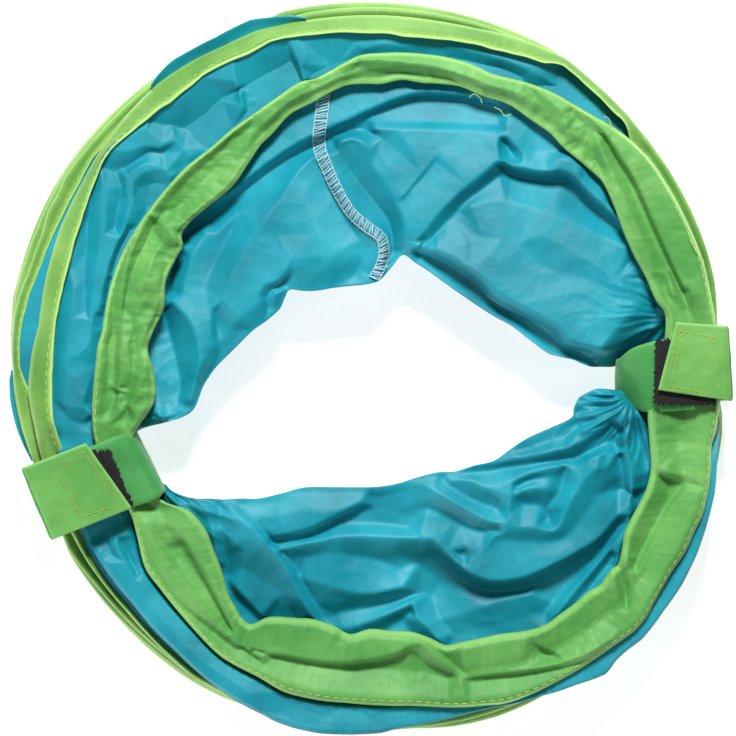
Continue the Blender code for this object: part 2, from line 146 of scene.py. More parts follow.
def run_length(line):
    """Distance along a line, up to each of its points."""
    return np.concatenate([[0], np.cumsum(np.linalg.norm(np.diff(line, axis=0), axis=1))])


def along(line, run, at):
    """Points of a line at given distances along it, or the one point at a single distance."""
    return np.stack([np.interp(at, run, line[:, d]) for d in range(line.shape[1])], axis=-1)


def through(knots, count, closed=False, measured=None):
    """Smooth curve through knots, at even steps of its length in the measured columns, or in all."""
    k = np.array(knots, float)
    if closed:
        k = np.vstack([k[-1:], k, k[:1], k[1:2]])
    else:
        k = np.vstack([2 * k[:1] - k[1:2], k, 2 * k[-1:] - k[-2:-1]])
    columns = measured or slice(None)
    step = np.sqrt(np.linalg.norm(np.diff(k[:, columns], axis=0), axis=1) + 1e-9)
    t = np.concatenate([[0], np.cumsum(step)])
    rows = []
    for i in range(1, len(k) - 2):
        t0, t1, t2, t3 = t[i - 1:i + 3]
        u = np.linspace(t1, t2, 24, endpoint=False)[:, None]
        a1 = (t1 - u) / (t1 - t0) * k[i - 1] + (u - t0) / (t1 - t0) * k[i]
        a2 = (t2 - u) / (t2 - t1) * k[i] + (u - t1) / (t2 - t1) * k[i + 1]
        a3 = (t3 - u) / (t3 - t2) * k[i + 1] + (u - t2) / (t3 - t2) * k[i + 2]
        b1 = (t2 - u) / (t2 - t0) * a1 + (u - t0) / (t2 - t0) * a2
        b2 = (t3 - u) / (t3 - t1) * a2 + (u - t1) / (t3 - t1) * a3
        rows.append((t2 - u) / (t2 - t1) * b1 + (u - t1) / (t2 - t1) * b2)
    dense = np.vstack(rows + [k[len(k) - 2][None]])
    length = run_length(dense[:, columns])
    return along(dense, length, np.linspace(0, length[-1], count, endpoint=not closed))


def polar(angle, table, column=1):
    """Value between the rows of a table whose first column is an angle in degrees."""
    angles = [row[0] for row in table]
    values = [row[column] for row in table]
    return np.interp(angle % 360, angles + [angles[0] + 360], values + [values[0]])


def softened(values, reach=2):
    """A closed run of values with its corners rounded."""
    kernel = np.hanning(2 * reach + 3)[1:-1]
    tripled = np.concatenate([values] * 3)
    return np.convolve(tripled, kernel / kernel.sum(), "same")[len(values):2 * len(values)]


def near_straps(angle, full, none):
    """1 within full degrees of a strap, falling to 0 at none degrees."""
    near = np.zeros(len(angle))
    for a in STRAP_ANGLES.values():
        gap = np.abs((angle - a + 180) % 360 - 180)
        near = np.maximum(near, 1 - smooth((gap - full) / (none - full)))
    return near


# Height fields over the photograph, with a margin round it, in pixels
MARGIN = 14
FIELD = IMAGE + 2 * MARGIN

# Where the folds meet: (x, y, height in m of the folds, folds in a full turn)
GATHER_UPPER = ((680, 316, 0.0014, 17), (132, 428, 0.0020, 17))
GATHER_LOWER = ((632, 396, 0.0026, 19), (146, 484, 0.0022, 19))


def gathers(x, y, places, seed):
    """Folds that spread from the places where the straps pinch the cloth."""
    total = 0.0
    for n, (gx, gy, height, folds) in enumerate(places):
        away = np.hypot(x - gx, y - gy)
        around = np.arctan2(y - gy, x - gx) / (2 * math.pi)
        bend = 0.03 * noise(x / 60, y / 60, seed + 7 + n)
        fold = ridged((around + bend) * folds, away / 90 + 3, seed + n, 2)
        total = total + height * fold * np.exp(-(away / 75) ** 2) * smooth(away / 40)
    return total


def creases(x, y, size, seed):
    """Crisp ridges where shallow bowls of cloth, about size pixels wide, meet."""
    rng = np.random.default_rng(seed)
    half = x[::2, ::2], y[::2, ::2]
    bend_x = half[0] + 0.5 * size * noise(half[0] / size / 1.6, half[1] / size / 1.6, seed + 1)
    bend_y = half[1] + 0.5 * size * noise(half[0] / size / 1.6, half[1] / size / 1.6, seed + 2)
    cells = int(IMAGE / size)
    gap = np.full(bend_x.shape, 1e9)
    for row in range(cells + 1):
        for column in range(cells + 1):
            px, py = (column + rng.random()) * size, (row + rng.random()) * size
            if math.hypot(px - CENTRE[0], py - CENTRE[1]) > 330 + size:
                continue
            lean = math.radians(-25 + 30 * rng.normal())
            u = (bend_x - px) * math.cos(lean) + (bend_y - py) * math.sin(lean)
            v = (bend_y - py) * math.cos(lean) - (bend_x - px) * math.sin(lean)
            level = 0.35 * rng.random()
            gap = np.minimum(gap, (u / size / 1.5) ** 2 + (v / size / 0.75) ** 2 + level)
    full = np.repeat(np.repeat(np.minimum(gap, 1.6), 2, 0), 2, 1)[:x.shape[0], :x.shape[1]]
    return blur(full, 1) - 0.7


def blur(field, times=1):
    for _ in range(times):
        field = (np.roll(field, 1, 0) + 2 * field + np.roll(field, -1, 0)) / 4
        field = (np.roll(field, 1, 1) + 2 * field + np.roll(field, -1, 1)) / 4
    return field


def sample(field, px, py):
    """Value of a height field between its pixels."""
    x = np.clip(px + MARGIN, 0, FIELD - 1.001)
    y = np.clip(py + MARGIN, 0, FIELD - 1.001)
    xi, yi = x.astype(int), y.astype(int)
    fx, fy = x - xi, y - yi
    return ((field[yi, xi] * (1 - fx) + field[yi, xi + 1] * fx) * (1 - fy)
            + (field[yi + 1, xi] * (1 - fx) + field[yi + 1, xi + 1] * fx) * fy)


# Materials


class Nodes:
    """A material with its principled shader, and short ways to add nodes to it."""

    def __init__(self, name):
        self.material = bpy.data.materials.new(name)
        self.material.use_nodes = True
        self.tree = self.material.node_tree
        self.shader = self.tree.nodes["Principled BSDF"]

    def feed(self, socket, value):
        """Link an output to a socket, or set the socket to a plain value."""
        if hasattr(value, "is_output"):
            self.tree.links.new(value, socket)
        else:
            socket.default_value = value

    def link(self, value, name):
        self.feed(self.shader.inputs[name], value)

    def add(self, kind, **inputs):
        node = self.tree.nodes.new(kind)
        for key, value in inputs.items():
            self.feed(node.inputs[key.replace("_", " ")], value)
        return node

    def math(self, operation, a, b=0.0):
        node = self.tree.nodes.new("ShaderNodeMath")
        node.operation = operation
        self.feed(node.inputs[0], a)
        self.feed(node.inputs[1], b)
        return node.outputs[0]

    def ramp(self, value, stops):
        node = self.tree.nodes.new("ShaderNodeValToRGB")
        self.tree.links.new(value, node.inputs[0])
        elements = node.color_ramp.elements
        while len(elements) < len(stops):
            elements.new(0.5)
        for element, (position, colour) in zip(elements, stops):
            element.position = position
            element.color = (*colour, 1.0)
        return node.outputs[0]

    def mix(self, share, a, b):
        node = self.tree.nodes.new("ShaderNodeMix")
        node.data_type = "RGBA"
        for socket, value in ((node.inputs[0], share), (node.inputs[6], a), (node.inputs[7], b)):
            self.feed(socket, (*value, 1.0) if isinstance(value, tuple) else value)
        return node.outputs[2]

    def coordinates(self):
        return self.add("ShaderNodeTexCoord")

    def noise(self, vector, scale, detail=3.0):
        return self.add("ShaderNodeTexNoise", Vector=vector, Scale=scale, Detail=detail).outputs["Fac"]

    def scaled(self, vector, scale):
        node = self.add("ShaderNodeMapping", Vector=vector)
        node.inputs["Scale"].default_value = scale
        return node.outputs[0]


def cloth_material(name, dark, mid, light, roughness=0.52, weave=2600.0, crinkle=0.25, sheen=0.15,
                   specular=0.32, edges=None):
    """Thin woven cloth: fine weave, soft blotches, small crinkles and a slight sheen."""
    m = Nodes(name)
    spot = m.coordinates()
    uv, where = spot.outputs["UV"], spot.outputs["Object"]
    blotch = m.noise(where, 38.0, 4.0)
    streak = m.noise(m.scaled(uv, (900.0, 60.0, 1.0)), 1.0, 2.0)
    tone = m.math("ADD", m.math("MULTIPLY", blotch, 0.88), m.math("MULTIPLY", streak, 0.12))
    colour = m.ramp(tone, ((0.32, dark), (0.5, mid), (0.68, light)))
    warp = m.add("ShaderNodeTexWave", Vector=m.scaled(uv, (weave, weave * 0.02, 1.0)), Scale=0.5,
                 Distortion=0.6)
    weft = m.add("ShaderNodeTexWave", Vector=m.scaled(uv, (weave * 0.02, weave, 1.0)), Scale=0.5,
                 Distortion=0.6)
    weft.bands_direction = "Y"
    threads = m.math("MULTIPLY", warp.outputs["Fac"], weft.outputs["Fac"])
    colour = m.mix(m.math("MULTIPLY", threads, 0.16), colour, light)
    # marked edges take the edge colour: sewn edges, and on the front hem a painted highlight too
    if edges is not None:
        attribute = m.add("ShaderNodeAttribute")
        attribute.attribute_name = "edge"
        colour = m.mix(attribute.outputs["Fac"], colour, edges)
    m.link(colour, "Base Color")
    m.link(roughness, "Roughness")
    m.link(sheen, "Sheen Weight")
    m.link(0.4, "Sheen Roughness")
    m.link(specular, "Specular IOR Level")
    fine = m.noise(where, 420.0, 4.0)
    soft = m.noise(where, 130.0, 3.0)
    height = m.math("ADD", m.math("MULTIPLY", fine, 0.35), m.math("MULTIPLY", soft, 1.0))
    bump = m.add("ShaderNodeBump", Strength=crinkle, Distance=0.0012, Height=height)
    weave_bump = m.add("ShaderNodeBump", Strength=0.12, Distance=0.0002, Height=threads,
                       Normal=bump.outputs[0])
    m.link(weave_bump.outputs[0], "Normal")
    return m.material


def thread_material(name, dark, light):
    m = Nodes(name)
    where = m.coordinates().outputs["Object"]
    twist = m.add("ShaderNodeTexWave", Vector=where, Scale=900.0, Distortion=3.0)
    m.link(m.ramp(twist.outputs["Fac"], ((0.2, dark), (0.8, light))), "Base Color")
    m.link(0.7, "Roughness")
    bump = m.add("ShaderNodeBump", Strength=0.4, Distance=0.0002, Height=twist.outputs["Fac"])
    m.link(bump.outputs[0], "Normal")
    return m.material


def steel_material():
    m = Nodes("spring_steel")
    where = m.coordinates().outputs["Object"]
    drawn = m.noise(m.scaled(where, (300.0, 300.0, 2000.0)), 1.0, 4.0)
    m.link(m.ramp(drawn, ((0.3, (0.30, 0.31, 0.33)), (0.7, (0.62, 0.63, 0.65)))), "Base Color")
    m.link(1.0, "Metallic")
    m.link(m.math("ADD", 0.25, m.math("MULTIPLY", drawn, 0.2)), "Roughness")
    return m.material


def fuzz_material():
    m = Nodes("black_hook_and_loop")
    where = m.coordinates().outputs["Object"]
    tuft = m.noise(where, 2200.0, 3.0)
    m.link(m.ramp(tuft, ((0.35, (0.002, 0.002, 0.002)), (0.72, (0.020, 0.019, 0.018)))), "Base Color")
    m.link(0.95, "Roughness")
    m.link(0.04, "Sheen Weight")
    bump = m.add("ShaderNodeBump", Strength=1.0, Distance=0.0006, Height=tuft)
    m.link(bump.outputs[0], "Normal")
    return m.material


def floor_material():
    m = Nodes("pale_floor")
    grain = m.noise(m.coordinates().outputs["Object"], 30.0, 2.0)
    m.link(m.ramp(grain, ((0.3, (0.78, 0.78, 0.78)), (0.7, (0.82, 0.82, 0.82)))), "Base Color")
    m.link(0.8, "Roughness")
    m.link(0.2, "Specular IOR Level")
    m.link((1.0, 1.0, 1.0, 1.0), "Emission Color")
    m.link(0.72, "Emission Strength")
    return m.material


TEAL = cloth_material("teal_taffeta", (0.0, 0.185, 0.245), (0.001, 0.260, 0.340), (0.012, 0.340, 0.430),
                      sheen=0.03, specular=0.38)
# The hem's edge colour is its stitched rim's own, and a painted highlight along the inner lip
HEM_GREEN = cloth_material("green_hem_cloth", (0.058, 0.270, 0.050), (0.102, 0.345, 0.074),
                           (0.170, 0.440, 0.108), crinkle=0.4, edges=(0.34, 0.66, 0.18))
TAPE_GREEN = cloth_material("green_channel_tape", (0.090, 0.255, 0.042), (0.145, 0.340, 0.066),
                            (0.225, 0.440, 0.098), crinkle=0.3, edges=(0.40, 0.66, 0.17))
WEBBING = cloth_material("green_webbing", (0.075, 0.290, 0.050), (0.115, 0.360, 0.072),
                         (0.170, 0.430, 0.098), roughness=0.6, weave=1500.0, crinkle=0.22,
                         edges=(0.26, 0.56, 0.15))
# The flaps' webbing again in darker colours: painted shade on the whole strap
SHADED_STRAP_WEBBING = cloth_material("green_webbing_painted_shade", (0.030, 0.225, 0.045), (0.050, 0.285, 0.062),
                             (0.080, 0.350, 0.082), roughness=0.6, weave=1500.0, crinkle=0.22,
                             edges=(0.10, 0.36, 0.08))
YELLOW = thread_material("yellow_green_thread", (0.36, 0.55, 0.08), (0.60, 0.80, 0.20))
OCHRE = thread_material("ochre_thread", (0.34, 0.33, 0.03), (0.55, 0.50, 0.06))
WHITE = thread_material("white_overlock_thread", (0.36, 0.58, 0.66), (0.62, 0.80, 0.86))
STEEL = steel_material()
FUZZ = fuzz_material()

# Meshes


def grid_faces(nu, nv, closed_u, closed_v):
    """Four-cornered faces of a grid of nu by nv points."""
    iu = np.arange(nu if closed_u else nu - 1)[:, None]
    iv = np.arange(nv if closed_v else nv - 1)[None]
    near, far = iu * nv, ((iu + 1) % nu) * nv
    corners = (near + iv, far + iv, far + (iv + 1) % nv, near + (iv + 1) % nv)
    return np.stack([corner.ravel() for corner in corners], axis=1)


def mesh_object(name, points, faces, material, uv=None, edge=None, normals=None):
    mesh = bpy.data.meshes.new(name)
    mesh.vertices.add(len(points))
    mesh.vertices.foreach_set("co", np.ascontiguousarray(points, np.float32).ravel())
    mesh.loops.add(faces.size)
    mesh.loops.foreach_set("vertex_index", faces.ravel().astype(np.int32))
    mesh.polygons.add(len(faces))
    mesh.polygons.foreach_set("loop_start", np.arange(0, faces.size, faces.shape[1], dtype=np.int32))
    mesh.polygons.foreach_set("loop_total", np.full(len(faces), faces.shape[1], np.int32))
    mesh.update(calc_edges=True)
    mesh.shade_smooth()
    if uv is not None:
        layer = mesh.uv_layers.new(name="cloth")
        layer.data.foreach_set("uv", uv[faces.ravel()].astype(np.float32).ravel())
    if edge is not None:
        attribute = mesh.attributes.new("edge", "FLOAT", "POINT")
        attribute.data.foreach_set("value", edge.astype(np.float32).ravel())
    if normals is not None:
        mesh.normals_split_custom_set_from_vertices(normals.tolist())
    mesh.materials.append(material)
    obj = bpy.data.objects.new(name, mesh)
    bpy.context.scene.collection.objects.link(obj)
    return obj


def ring_normals(p):
    """Normals of a grid that is closed round the ring, so that cuts between sectors don't show."""
    du = np.roll(p, -1, 0) - np.roll(p, 1, 0)
    dv = np.gradient(p, axis=1)
    n = np.cross(du, dv)
    return n / np.maximum(np.linalg.norm(n, axis=2, keepdims=True), 1e-12)


def surface_uv(p):
    """Places on a grid of cloth, measured along the cloth in metres."""
    nu, nv = p.shape[:2]
    across = np.concatenate([np.zeros((nu, 1)), np.cumsum(np.linalg.norm(np.diff(p, axis=1), axis=2), 1)], 1)
    ring = np.linalg.norm(np.roll(p, -1, 0) - p, axis=2).max(1)
    round_it = np.concatenate([[0], np.cumsum(ring)[:-1]])
    return np.stack([np.repeat(round_it[:, None], nv, 1), across], axis=2)


def grid_object(name, p, material, closed_u=False, closed_v=False, edge=None):
    nu, nv = p.shape[:2]
    uv = surface_uv(p).reshape(-1, 2)
    return mesh_object(name, p.reshape(-1, 3), grid_faces(nu, nv, closed_u, closed_v), material, uv,
                       None if edge is None else edge.ravel())


def fasten(obj, body, node=None):
    """Let a piece ride on its body and hide the node of the frame it replaces, if any."""
    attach(obj, body)
    if node:
        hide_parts(node)


def settle(obj, body):
    """Let folded cloth ride on its body, with a mesh of its own."""
    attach(obj, body)
    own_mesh(obj)


def sector_objects(name, p, material, body):
    """A ring of cloth cut into sectors, each riding on the body with a mesh of its own."""
    nu, nv = p.shape[:2]
    normals = ring_normals(p)
    uv = surface_uv(p)
    step = nu // SECTORS
    pieces = []
    for k in range(SECTORS):
        columns = np.arange(k * step, (k + 1) * step + 1 if k < SECTORS - 1 else nu + 1) % nu
        part = p[columns]
        faces = grid_faces(len(columns), nv, False, False)
        obj = mesh_object(f"{name}_{k + 1:02d}", part.reshape(-1, 3), faces, material,
                          uv[columns].reshape(-1, 2), None, normals[columns].reshape(-1, 3))
        obj["grid"], obj["closed"] = [len(columns), nv], False
        settle(obj, body)
        pieces.append(obj)
    return pieces


def flat_size(obj):
    """Mean width and length of a grid of cloth, measured along the cloth."""
    nu, nv = obj["grid"]
    p = np.empty(nu * nv * 3, np.float32)
    obj.data.vertices.foreach_get("co", p)
    p = p.reshape(nu, nv, 3)
    wide = np.linalg.norm(np.diff(p, axis=0), axis=2).sum(0).mean()
    if obj["closed"]:
        wide += np.linalg.norm(p[0] - p[-1], axis=1).mean()
    long = np.linalg.norm(np.diff(p, axis=1), axis=2).sum(1).mean()
    return round(float(wide), 4), round(max(float(long), 0.01), 4)


def tube(path, radius, sides=6, closed=False):
    """Round thread or wire along a path of points."""
    p = np.array(path, float)
    tangent = (np.roll(p, -1, 0) - np.roll(p, 1, 0)) if closed else np.gradient(p, axis=0)
    tangent /= np.maximum(np.linalg.norm(tangent, axis=1, keepdims=True), 1e-12)
    side = np.cross(tangent, [0.0, 0.0, 1.0])
    weak = np.linalg.norm(side, axis=1) < 1e-3
    side[weak] = np.cross(tangent[weak], [1.0, 0.0, 0.0])
    side = unit(side)
    over = np.cross(side, tangent)
    turn = np.arange(sides) * 2 * math.pi / sides
    ring = np.cos(turn)[None, :, None] * side[:, None] + np.sin(turn)[None, :, None] * over[:, None]
    points = p[:, None] + radius * ring
    return points.reshape(-1, 3), grid_faces(len(p), sides, closed, True)


def joined(name, parts, material):
    """Many small tubes as one mesh."""
    points, faces, at = [], [], 0
    for p, f in parts:
        points.append(p)
        faces.append(f + at)
        at += len(p)
    points = np.vstack(points)
    return mesh_object(name, points, np.vstack(faces), material, points[:, :2])


def stitch_tubes(line, first, length, gap, radius, lift, sides):
    """Short stitches along a line, each lifted in the middle and sunk at its ends."""
    run = run_length(line)
    parts = []
    for start in np.arange(first, run[-1] - length, length + gap):
        stitch = along(line, run, np.linspace(start, start + length, 4))
        stitch[:, 2] += lift
        parts.append(tube(stitch, radius, sides))
    return parts


def stitches(name, line, body):
    """Run of short stitches along a closed line that lies on the cloth."""
    line = np.vstack([line, line[:1]])
    radius = 0.00015
    lift = (-0.4 * radius, 1.1 * radius, 1.1 * radius, -0.4 * radius)
    parts = stitch_tubes(line, 0, 0.0020, 0.0014, radius, lift, 4)
    fasten(joined(name, parts, YELLOW), body)


def make_wire(node, line, body):
    wire = mesh_object(f"{node}_wire", *tube(line, WIRE_R, 8, True), STEEL)
    fasten(wire, body, node)


# Rim bands, read round the photograph: (angle in degrees, outer radius, inner radius), in pixels
TAPE_4 = (
    (0, 350, 336), (7, 350, 336), (14, 355.5, 342), (20, 357, 344), (30, 358, 345), (38, 359, 345),
    (41, 359.5, 345), (43, 360, 351), (44.5, 360.5, 353.5), (46, 361, 352), (48, 361.5, 353), (50, 362, 354),
    (53, 363, 355), (56, 364.5, 357), (57.3, 365.5, 358), (59, 365, 354), (60, 364.5, 350),
    (62.5, 363, 347.5), (65, 361, 344.5), (69, 358, 340), (72.5, 355, 338.5), (77.5, 353, 334.5),
    (80, 352.5, 333), (84.5, 352, 331.5), (87, 352, 334), (90, 352, 333), (95, 352, 336),
    (100, 352.5, 336.5), (105, 353.5, 339.5), (107, 354.5, 340), (109, 355, 338), (111, 354, 336),
    (115, 353, 336.5), (120, 354, 336), (122.5, 354, 333), (127, 354, 331), (129, 353, 333),
    (132, 351.5, 333.5), (135, 350, 335), (138, 348, 336.5), (140, 346.5, 338), (142, 345.5, 337),
    (144, 344, 334.5), (146, 342.5, 331.5), (148, 341.5, 329), (150, 341, 326.5), (153, 340, 323),
    (156, 339.5, 321), (160, 337.5, 318.5), (165, 336, 317.5), (170, 334.5, 317), (173, 334, 317),
    (177, 338, 316.5), (180, 340, 317), (184, 343, 319), (190, 341, 321), (194, 341, 318), (200, 341, 316),
    (205, 342, 320), (210, 342, 329), (215, 343.5, 333), (220, 344, 334.5), (225, 345, 335.5),
    (230, 348, 339), (235, 352, 342), (240, 357, 344), (246, 358, 344), (255, 357, 342), (270, 357, 342),
    (290, 359, 345), (310, 360, 346), (330, 360, 346), (345, 358, 344), (350, 356, 342), (355, 350, 336),
)
TAPE_3 = (
    (0, 350, 333), (7, 350, 332), (14, 353, 336), (25, 356, 340), (41, 357, 342), (50, 359, 345),
    (60, 362, 348), (70, 361, 347), (80, 360, 344), (90, 360, 343), (100, 360, 342), (110, 356, 340),
    (120, 357, 341), (128, 358, 342), (135, 358, 345), (140, 358, 346), (143, 358.5, 346), (145, 359, 344.5),
    (148, 359.5, 343), (151, 357, 342), (154, 358, 341.5), (156, 356, 342), (158, 354.5, 342.5),
    (162, 354.5, 344), (165, 355, 346), (168, 358, 348), (170, 359, 349), (172, 359.5, 350), (175, 359, 351),
    (177, 358.5, 351), (180, 357, 350), (182, 356.5, 346), (184, 355.5, 341), (190, 353, 339),
    (195, 350, 338), (200, 350, 336), (208, 350, 336), (211, 353, 337), (215, 352, 337), (220, 351, 337),
    (225, 351.5, 337), (230, 352.5, 338), (235, 354, 340), (240, 357, 342), (246, 359, 345), (255, 361, 347),
    (265, 362, 348), (275, 363, 348), (285, 366, 351), (295, 368, 353), (305, 367, 352), (320, 364, 349),
    (335, 362, 347), (345, 359, 344), (350, 356, 342), (355, 350, 337),
)
TAPE_2 = (
    (0, 350, 330), (7, 350, 330), (14, 355, 335), (25, 357.5, 337), (41, 358.5, 338), (50, 360.5, 340),
    (60, 366, 345), (70, 365, 345), (80, 364.5, 344), (90, 364.5, 344), (100, 366, 346), (104, 366.5, 346),
    (107, 362, 342), (112, 358, 338), (120, 358, 338), (126, 359, 339), (130, 361, 341), (140, 361.5, 342),
    (148, 362, 342), (153, 361.5, 341), (157, 361, 341), (162, 361, 341), (168, 362, 342), (172, 361, 341),
    (176, 359, 341), (180, 357.5, 340), (184, 357, 338), (190, 354, 336), (195, 350, 334), (200, 350, 332),
    (208, 350, 332), (212, 354, 334), (218, 354.5, 334), (225, 355.5, 335), (232, 357, 337),
    (240, 359.5, 339), (248, 360.5, 340), (258, 362, 342), (270, 363, 343), (277, 364, 344),
    (283, 369, 348), (290, 372, 351), (296, 372, 352), (305, 369, 349), (320, 366, 346), (335, 363, 343),
    (345, 360.5, 340), (350, 358, 338), (355, 350, 332),
)
TAPE_1 = (
    (0, 349, 329), (7, 349, 330), (14, 354, 334), (25, 356, 336), (41, 358, 337), (50, 360, 339),
    (60, 366, 344), (75, 364.5, 343), (90, 365, 344), (98, 365.5, 344), (103, 366.5, 344), (107, 361, 341),
    (115, 358, 338), (122, 359, 339), (128, 361.5, 341), (135, 362, 342), (142, 363, 343), (150, 364, 343),
    (158, 363.5, 343), (165, 363, 343), (169, 364, 343), (172, 362, 342), (176, 360, 341), (180, 358, 340),
    (184, 356.5, 338), (190, 354, 336), (195, 350, 334), (200, 349, 332), (208, 349, 332), (212, 354, 334),
    (220, 354, 334), (230, 357.5, 337), (240, 361, 340), (246, 361.5, 341), (252, 360, 340), (265, 360, 340),
    (277, 363, 342), (285, 370, 348), (290, 372, 350), (300, 369, 348), (320, 364, 344), (335, 362, 342),
    (345, 360, 340), (352, 356, 336), (356, 349, 331),
)
TAPES = (TAPE_1, TAPE_2, TAPE_3, TAPE_4)
# How far the rear ends of the cloth stand out between two rings, where they do
BULGES = (
    (),
    ((179, 0), (180.5, 358), (182, 361), (185, 361.5), (188, 360), (190, 358.5), (193, 355), (195.5, 351),
     (197, 0)),
    (),
    ((99, 0), (100.2, 354), (103, 360), (106, 364), (109, 367.5), (112, 366), (115, 364.5), (120, 364.5),
     (122.5, 365), (124, 364), (126, 361), (128, 356), (129, 0)),
    (),
)
# Outline of a channel tape round its wire: (share from the inner edge to the outer one, up in m, edge share)
TAPE_SECTION = (
    (0.00, 0.00035, 1.0), (0.06, 0.00085, 1.0), (0.15, 0.00080, 0.5), (0.26, 0.00070, 0.0),
    (0.40, 0.00080, 0.0), (0.55, 0.00125, 0.0), (0.68, 0.00178, 0.0), (0.80, 0.00190, 0.0),
    (0.91, 0.00155, 0.2), (0.98, 0.00080, 0.5), (1.00, 0.0, 0.5), (0.98, -0.00080, 0.4),
    (0.91, -0.00155, 0.2), (0.80, -0.00190, 0.0), (0.68, -0.00178, 0.0), (0.55, -0.00125, 0.0),
    (0.40, -0.00080, 0.0), (0.26, -0.00070, 0.0), (0.15, -0.00080, 0.5), (0.06, -0.00085, 1.0),
    (0.00, -0.00035, 1.0),
)
# Where the flange of the front tape lies over the cloth: (angle, share)
OVER = ((0, 0.0), (38, 0.0), (44, 1.0), (190, 1.0), (197, 0.0), (230, 0.0), (359, 0.0))
# Bodies that the rings ride on, and what each panel's wall rests on, from the rear to the front
BODIES = ("rear_mouth", "turn_1", "turn_2", "turn_3", "turn_4", "front_mouth")
# How high the flange of a tape rises to its inner edge, alone and over the cloth
FLANGE_RISE = 0.0006
OVER_RISE = 0.0068
# Place of the wire in a tape, as a share of the way to its outer edge
WIRE_SHARE = 0.78


def make_rings():
    """The four channel tapes, each sewn round its wire, and the wire of the rear hoop."""
    angle = ring_angles(1080)
    over = polar(angle, OVER)
    for n, z in enumerate(HOOP_Z):
        ro = softened(polar(angle, TAPES[n], 1))
        ri = softened(polar(angle, TAPES[n], 2))
        pucker = ring_noise(angle, 130, 3.3 + n, 40 + n)
        slow = ring_noise(angle, 34, 1.3 + n, 50 + n)
        rise = OVER_RISE * over if TAPES[n] is TAPE_4 else FLANGE_RISE
        rows, marks = [], []
        for share, up, mark in TAPE_SECTION:
            inward = smooth(1.1 - 1.6 * share)
            r = ri + (ro - ri) * share + inward * (0.5 * pucker + 0.7 * slow) * (1 - share)
            h = z + up * (1 + 0.12 * slow) + rise * (1 - share) ** 1.2
            h = h + inward * 0.0003 * pucker + 0.00022 * slow
            rows.append(polar_place(angle, r, h))
            marks.append(np.full(len(angle), mark))
        p = np.stack(rows, axis=1)
        node, body = f"channel_tape_{n + 1}", BODIES[n + 1]
        tape = grid_object(f"{node}_sewn", p[::-1], TAPE_GREEN, True, True, np.stack(marks, axis=1))
        fasten(tape, body, node)
        make_wire(f"hoop_{n + 1}", polar_place(angle, ri + (ro - ri) * WIRE_SHARE, z), body)
        stitches(f"{node}_stitch", p[:, 3] + [0, 0, 0.0001], body)
    make_wire("rear_hoop", ring_line(REAR_HALF, angle, REAR_Z), "rear_mouth")


def ring_line(half, angle, z, out=0.0):
    """Line round an oval with the given half widths, set out from it."""
    turn = np.radians(angle)
    return np.stack([(half[0] + out) * np.cos(turn), (half[1] + out) * np.sin(turn), z + 0 * turn], 1)


# Traced outlines, in pixels
# Front hem: outer edge and inner edge, clockwise from the left strap
HEM = (
    ((93, 433), (130, 436)), ((92, 420), (137, 424)), ((92, 405), (150, 405)), ((95.5, 364), (151, 372)),
    ((98, 345), (145, 349)), ((102, 331), (150, 332)), ((106, 305), (161, 308)), ((113, 277), (163, 281)),
    ((121, 256), (173, 259)), ((130, 238), (180, 246)), ((139, 224), (179, 234)), ((147.5, 212), (187, 222)),
    ((163, 192), (205, 206)), ((185, 168), (230, 185)), ((209, 149), (246, 162)), ((232, 129), (258, 144)),
    ((252, 115), (270, 132)), ((280, 95), (290, 111)), ((300, 82), (313, 99)), ((315, 78), (327, 91)),
    ((335, 67.6), (345, 83)), ((361, 55), (366, 81)), ((381, 53), (382, 81)), ((403, 52.5), (402, 77)),
    ((425, 54), (422, 80)), ((446, 57), (440, 81)), ((471, 64), (462, 84)), ((493, 74), (483, 93)),
    ((525, 82), (510, 102)), ((552.6, 92.4), (532, 117)), ((575, 105), (552, 131)), ((596, 117), (566, 146)),
    ((612, 126), (583, 160)), ((632, 141), (598, 173)), ((652, 162), (606, 182)), ((675, 198), (617, 206)),
    ((691, 230), (627, 233)), ((702, 257), (637, 256)), ((707, 275), (648, 276)), ((712, 300), (658, 299)),
    ((716, 323), (668, 316)), ((719, 345), (667, 345)), ((721, 372), (664, 372)), ((721, 395), (656, 398)),
    ((719, 412), (651, 412)), ((716, 432), (652, 434)), ((712, 446), (653, 448)), ((711.5, 471), (654, 468)),
    ((709, 490), (650, 487)), ((703, 515), (641, 506)), ((695, 532), (633, 521)),
    ((687, 550), (627, 535)), ((673, 571), (625, 549)), ((663, 588), (621, 565)), ((653.5, 605), (614, 571)),
    ((647, 617), (609, 577)), ((634, 631.5), (602, 587)), ((618, 643), (590, 594)), ((597, 658), (576, 606)),
    ((581, 668.5), (561, 617)), ((553, 684), (545, 628)), ((530, 695), (525, 634)),
    ((506, 703.5), (500, 637)), ((487, 705.5), (482, 641)), ((467.6, 707.3), (462, 645)),
    ((448.6, 707.5), (446, 648)), ((430, 706.8), (430, 641)), ((411.6, 706), (412, 635)),
    ((394, 706), (393, 634)), ((370, 705), (370, 632)), ((346.5, 703), (350, 637)),
    ((323, 701), (334, 629)), ((300, 696.6), (312, 622)), ((283, 691.6), (296, 621)),
    ((257, 676.6), (268, 620)), ((237, 666.6), (250, 627)), ((222, 657.5), (240, 620)),
    ((209, 646), (235, 612)), ((181, 615), (225, 594)), ((160, 589), (219, 572)), ((145, 568), (211, 551)),
    ((137, 537), (202, 529)), ((131, 515), (186, 511)), ((120, 494), (160, 500)), ((107, 470), (137, 475)),
    ((97, 450), (130, 455)),
)
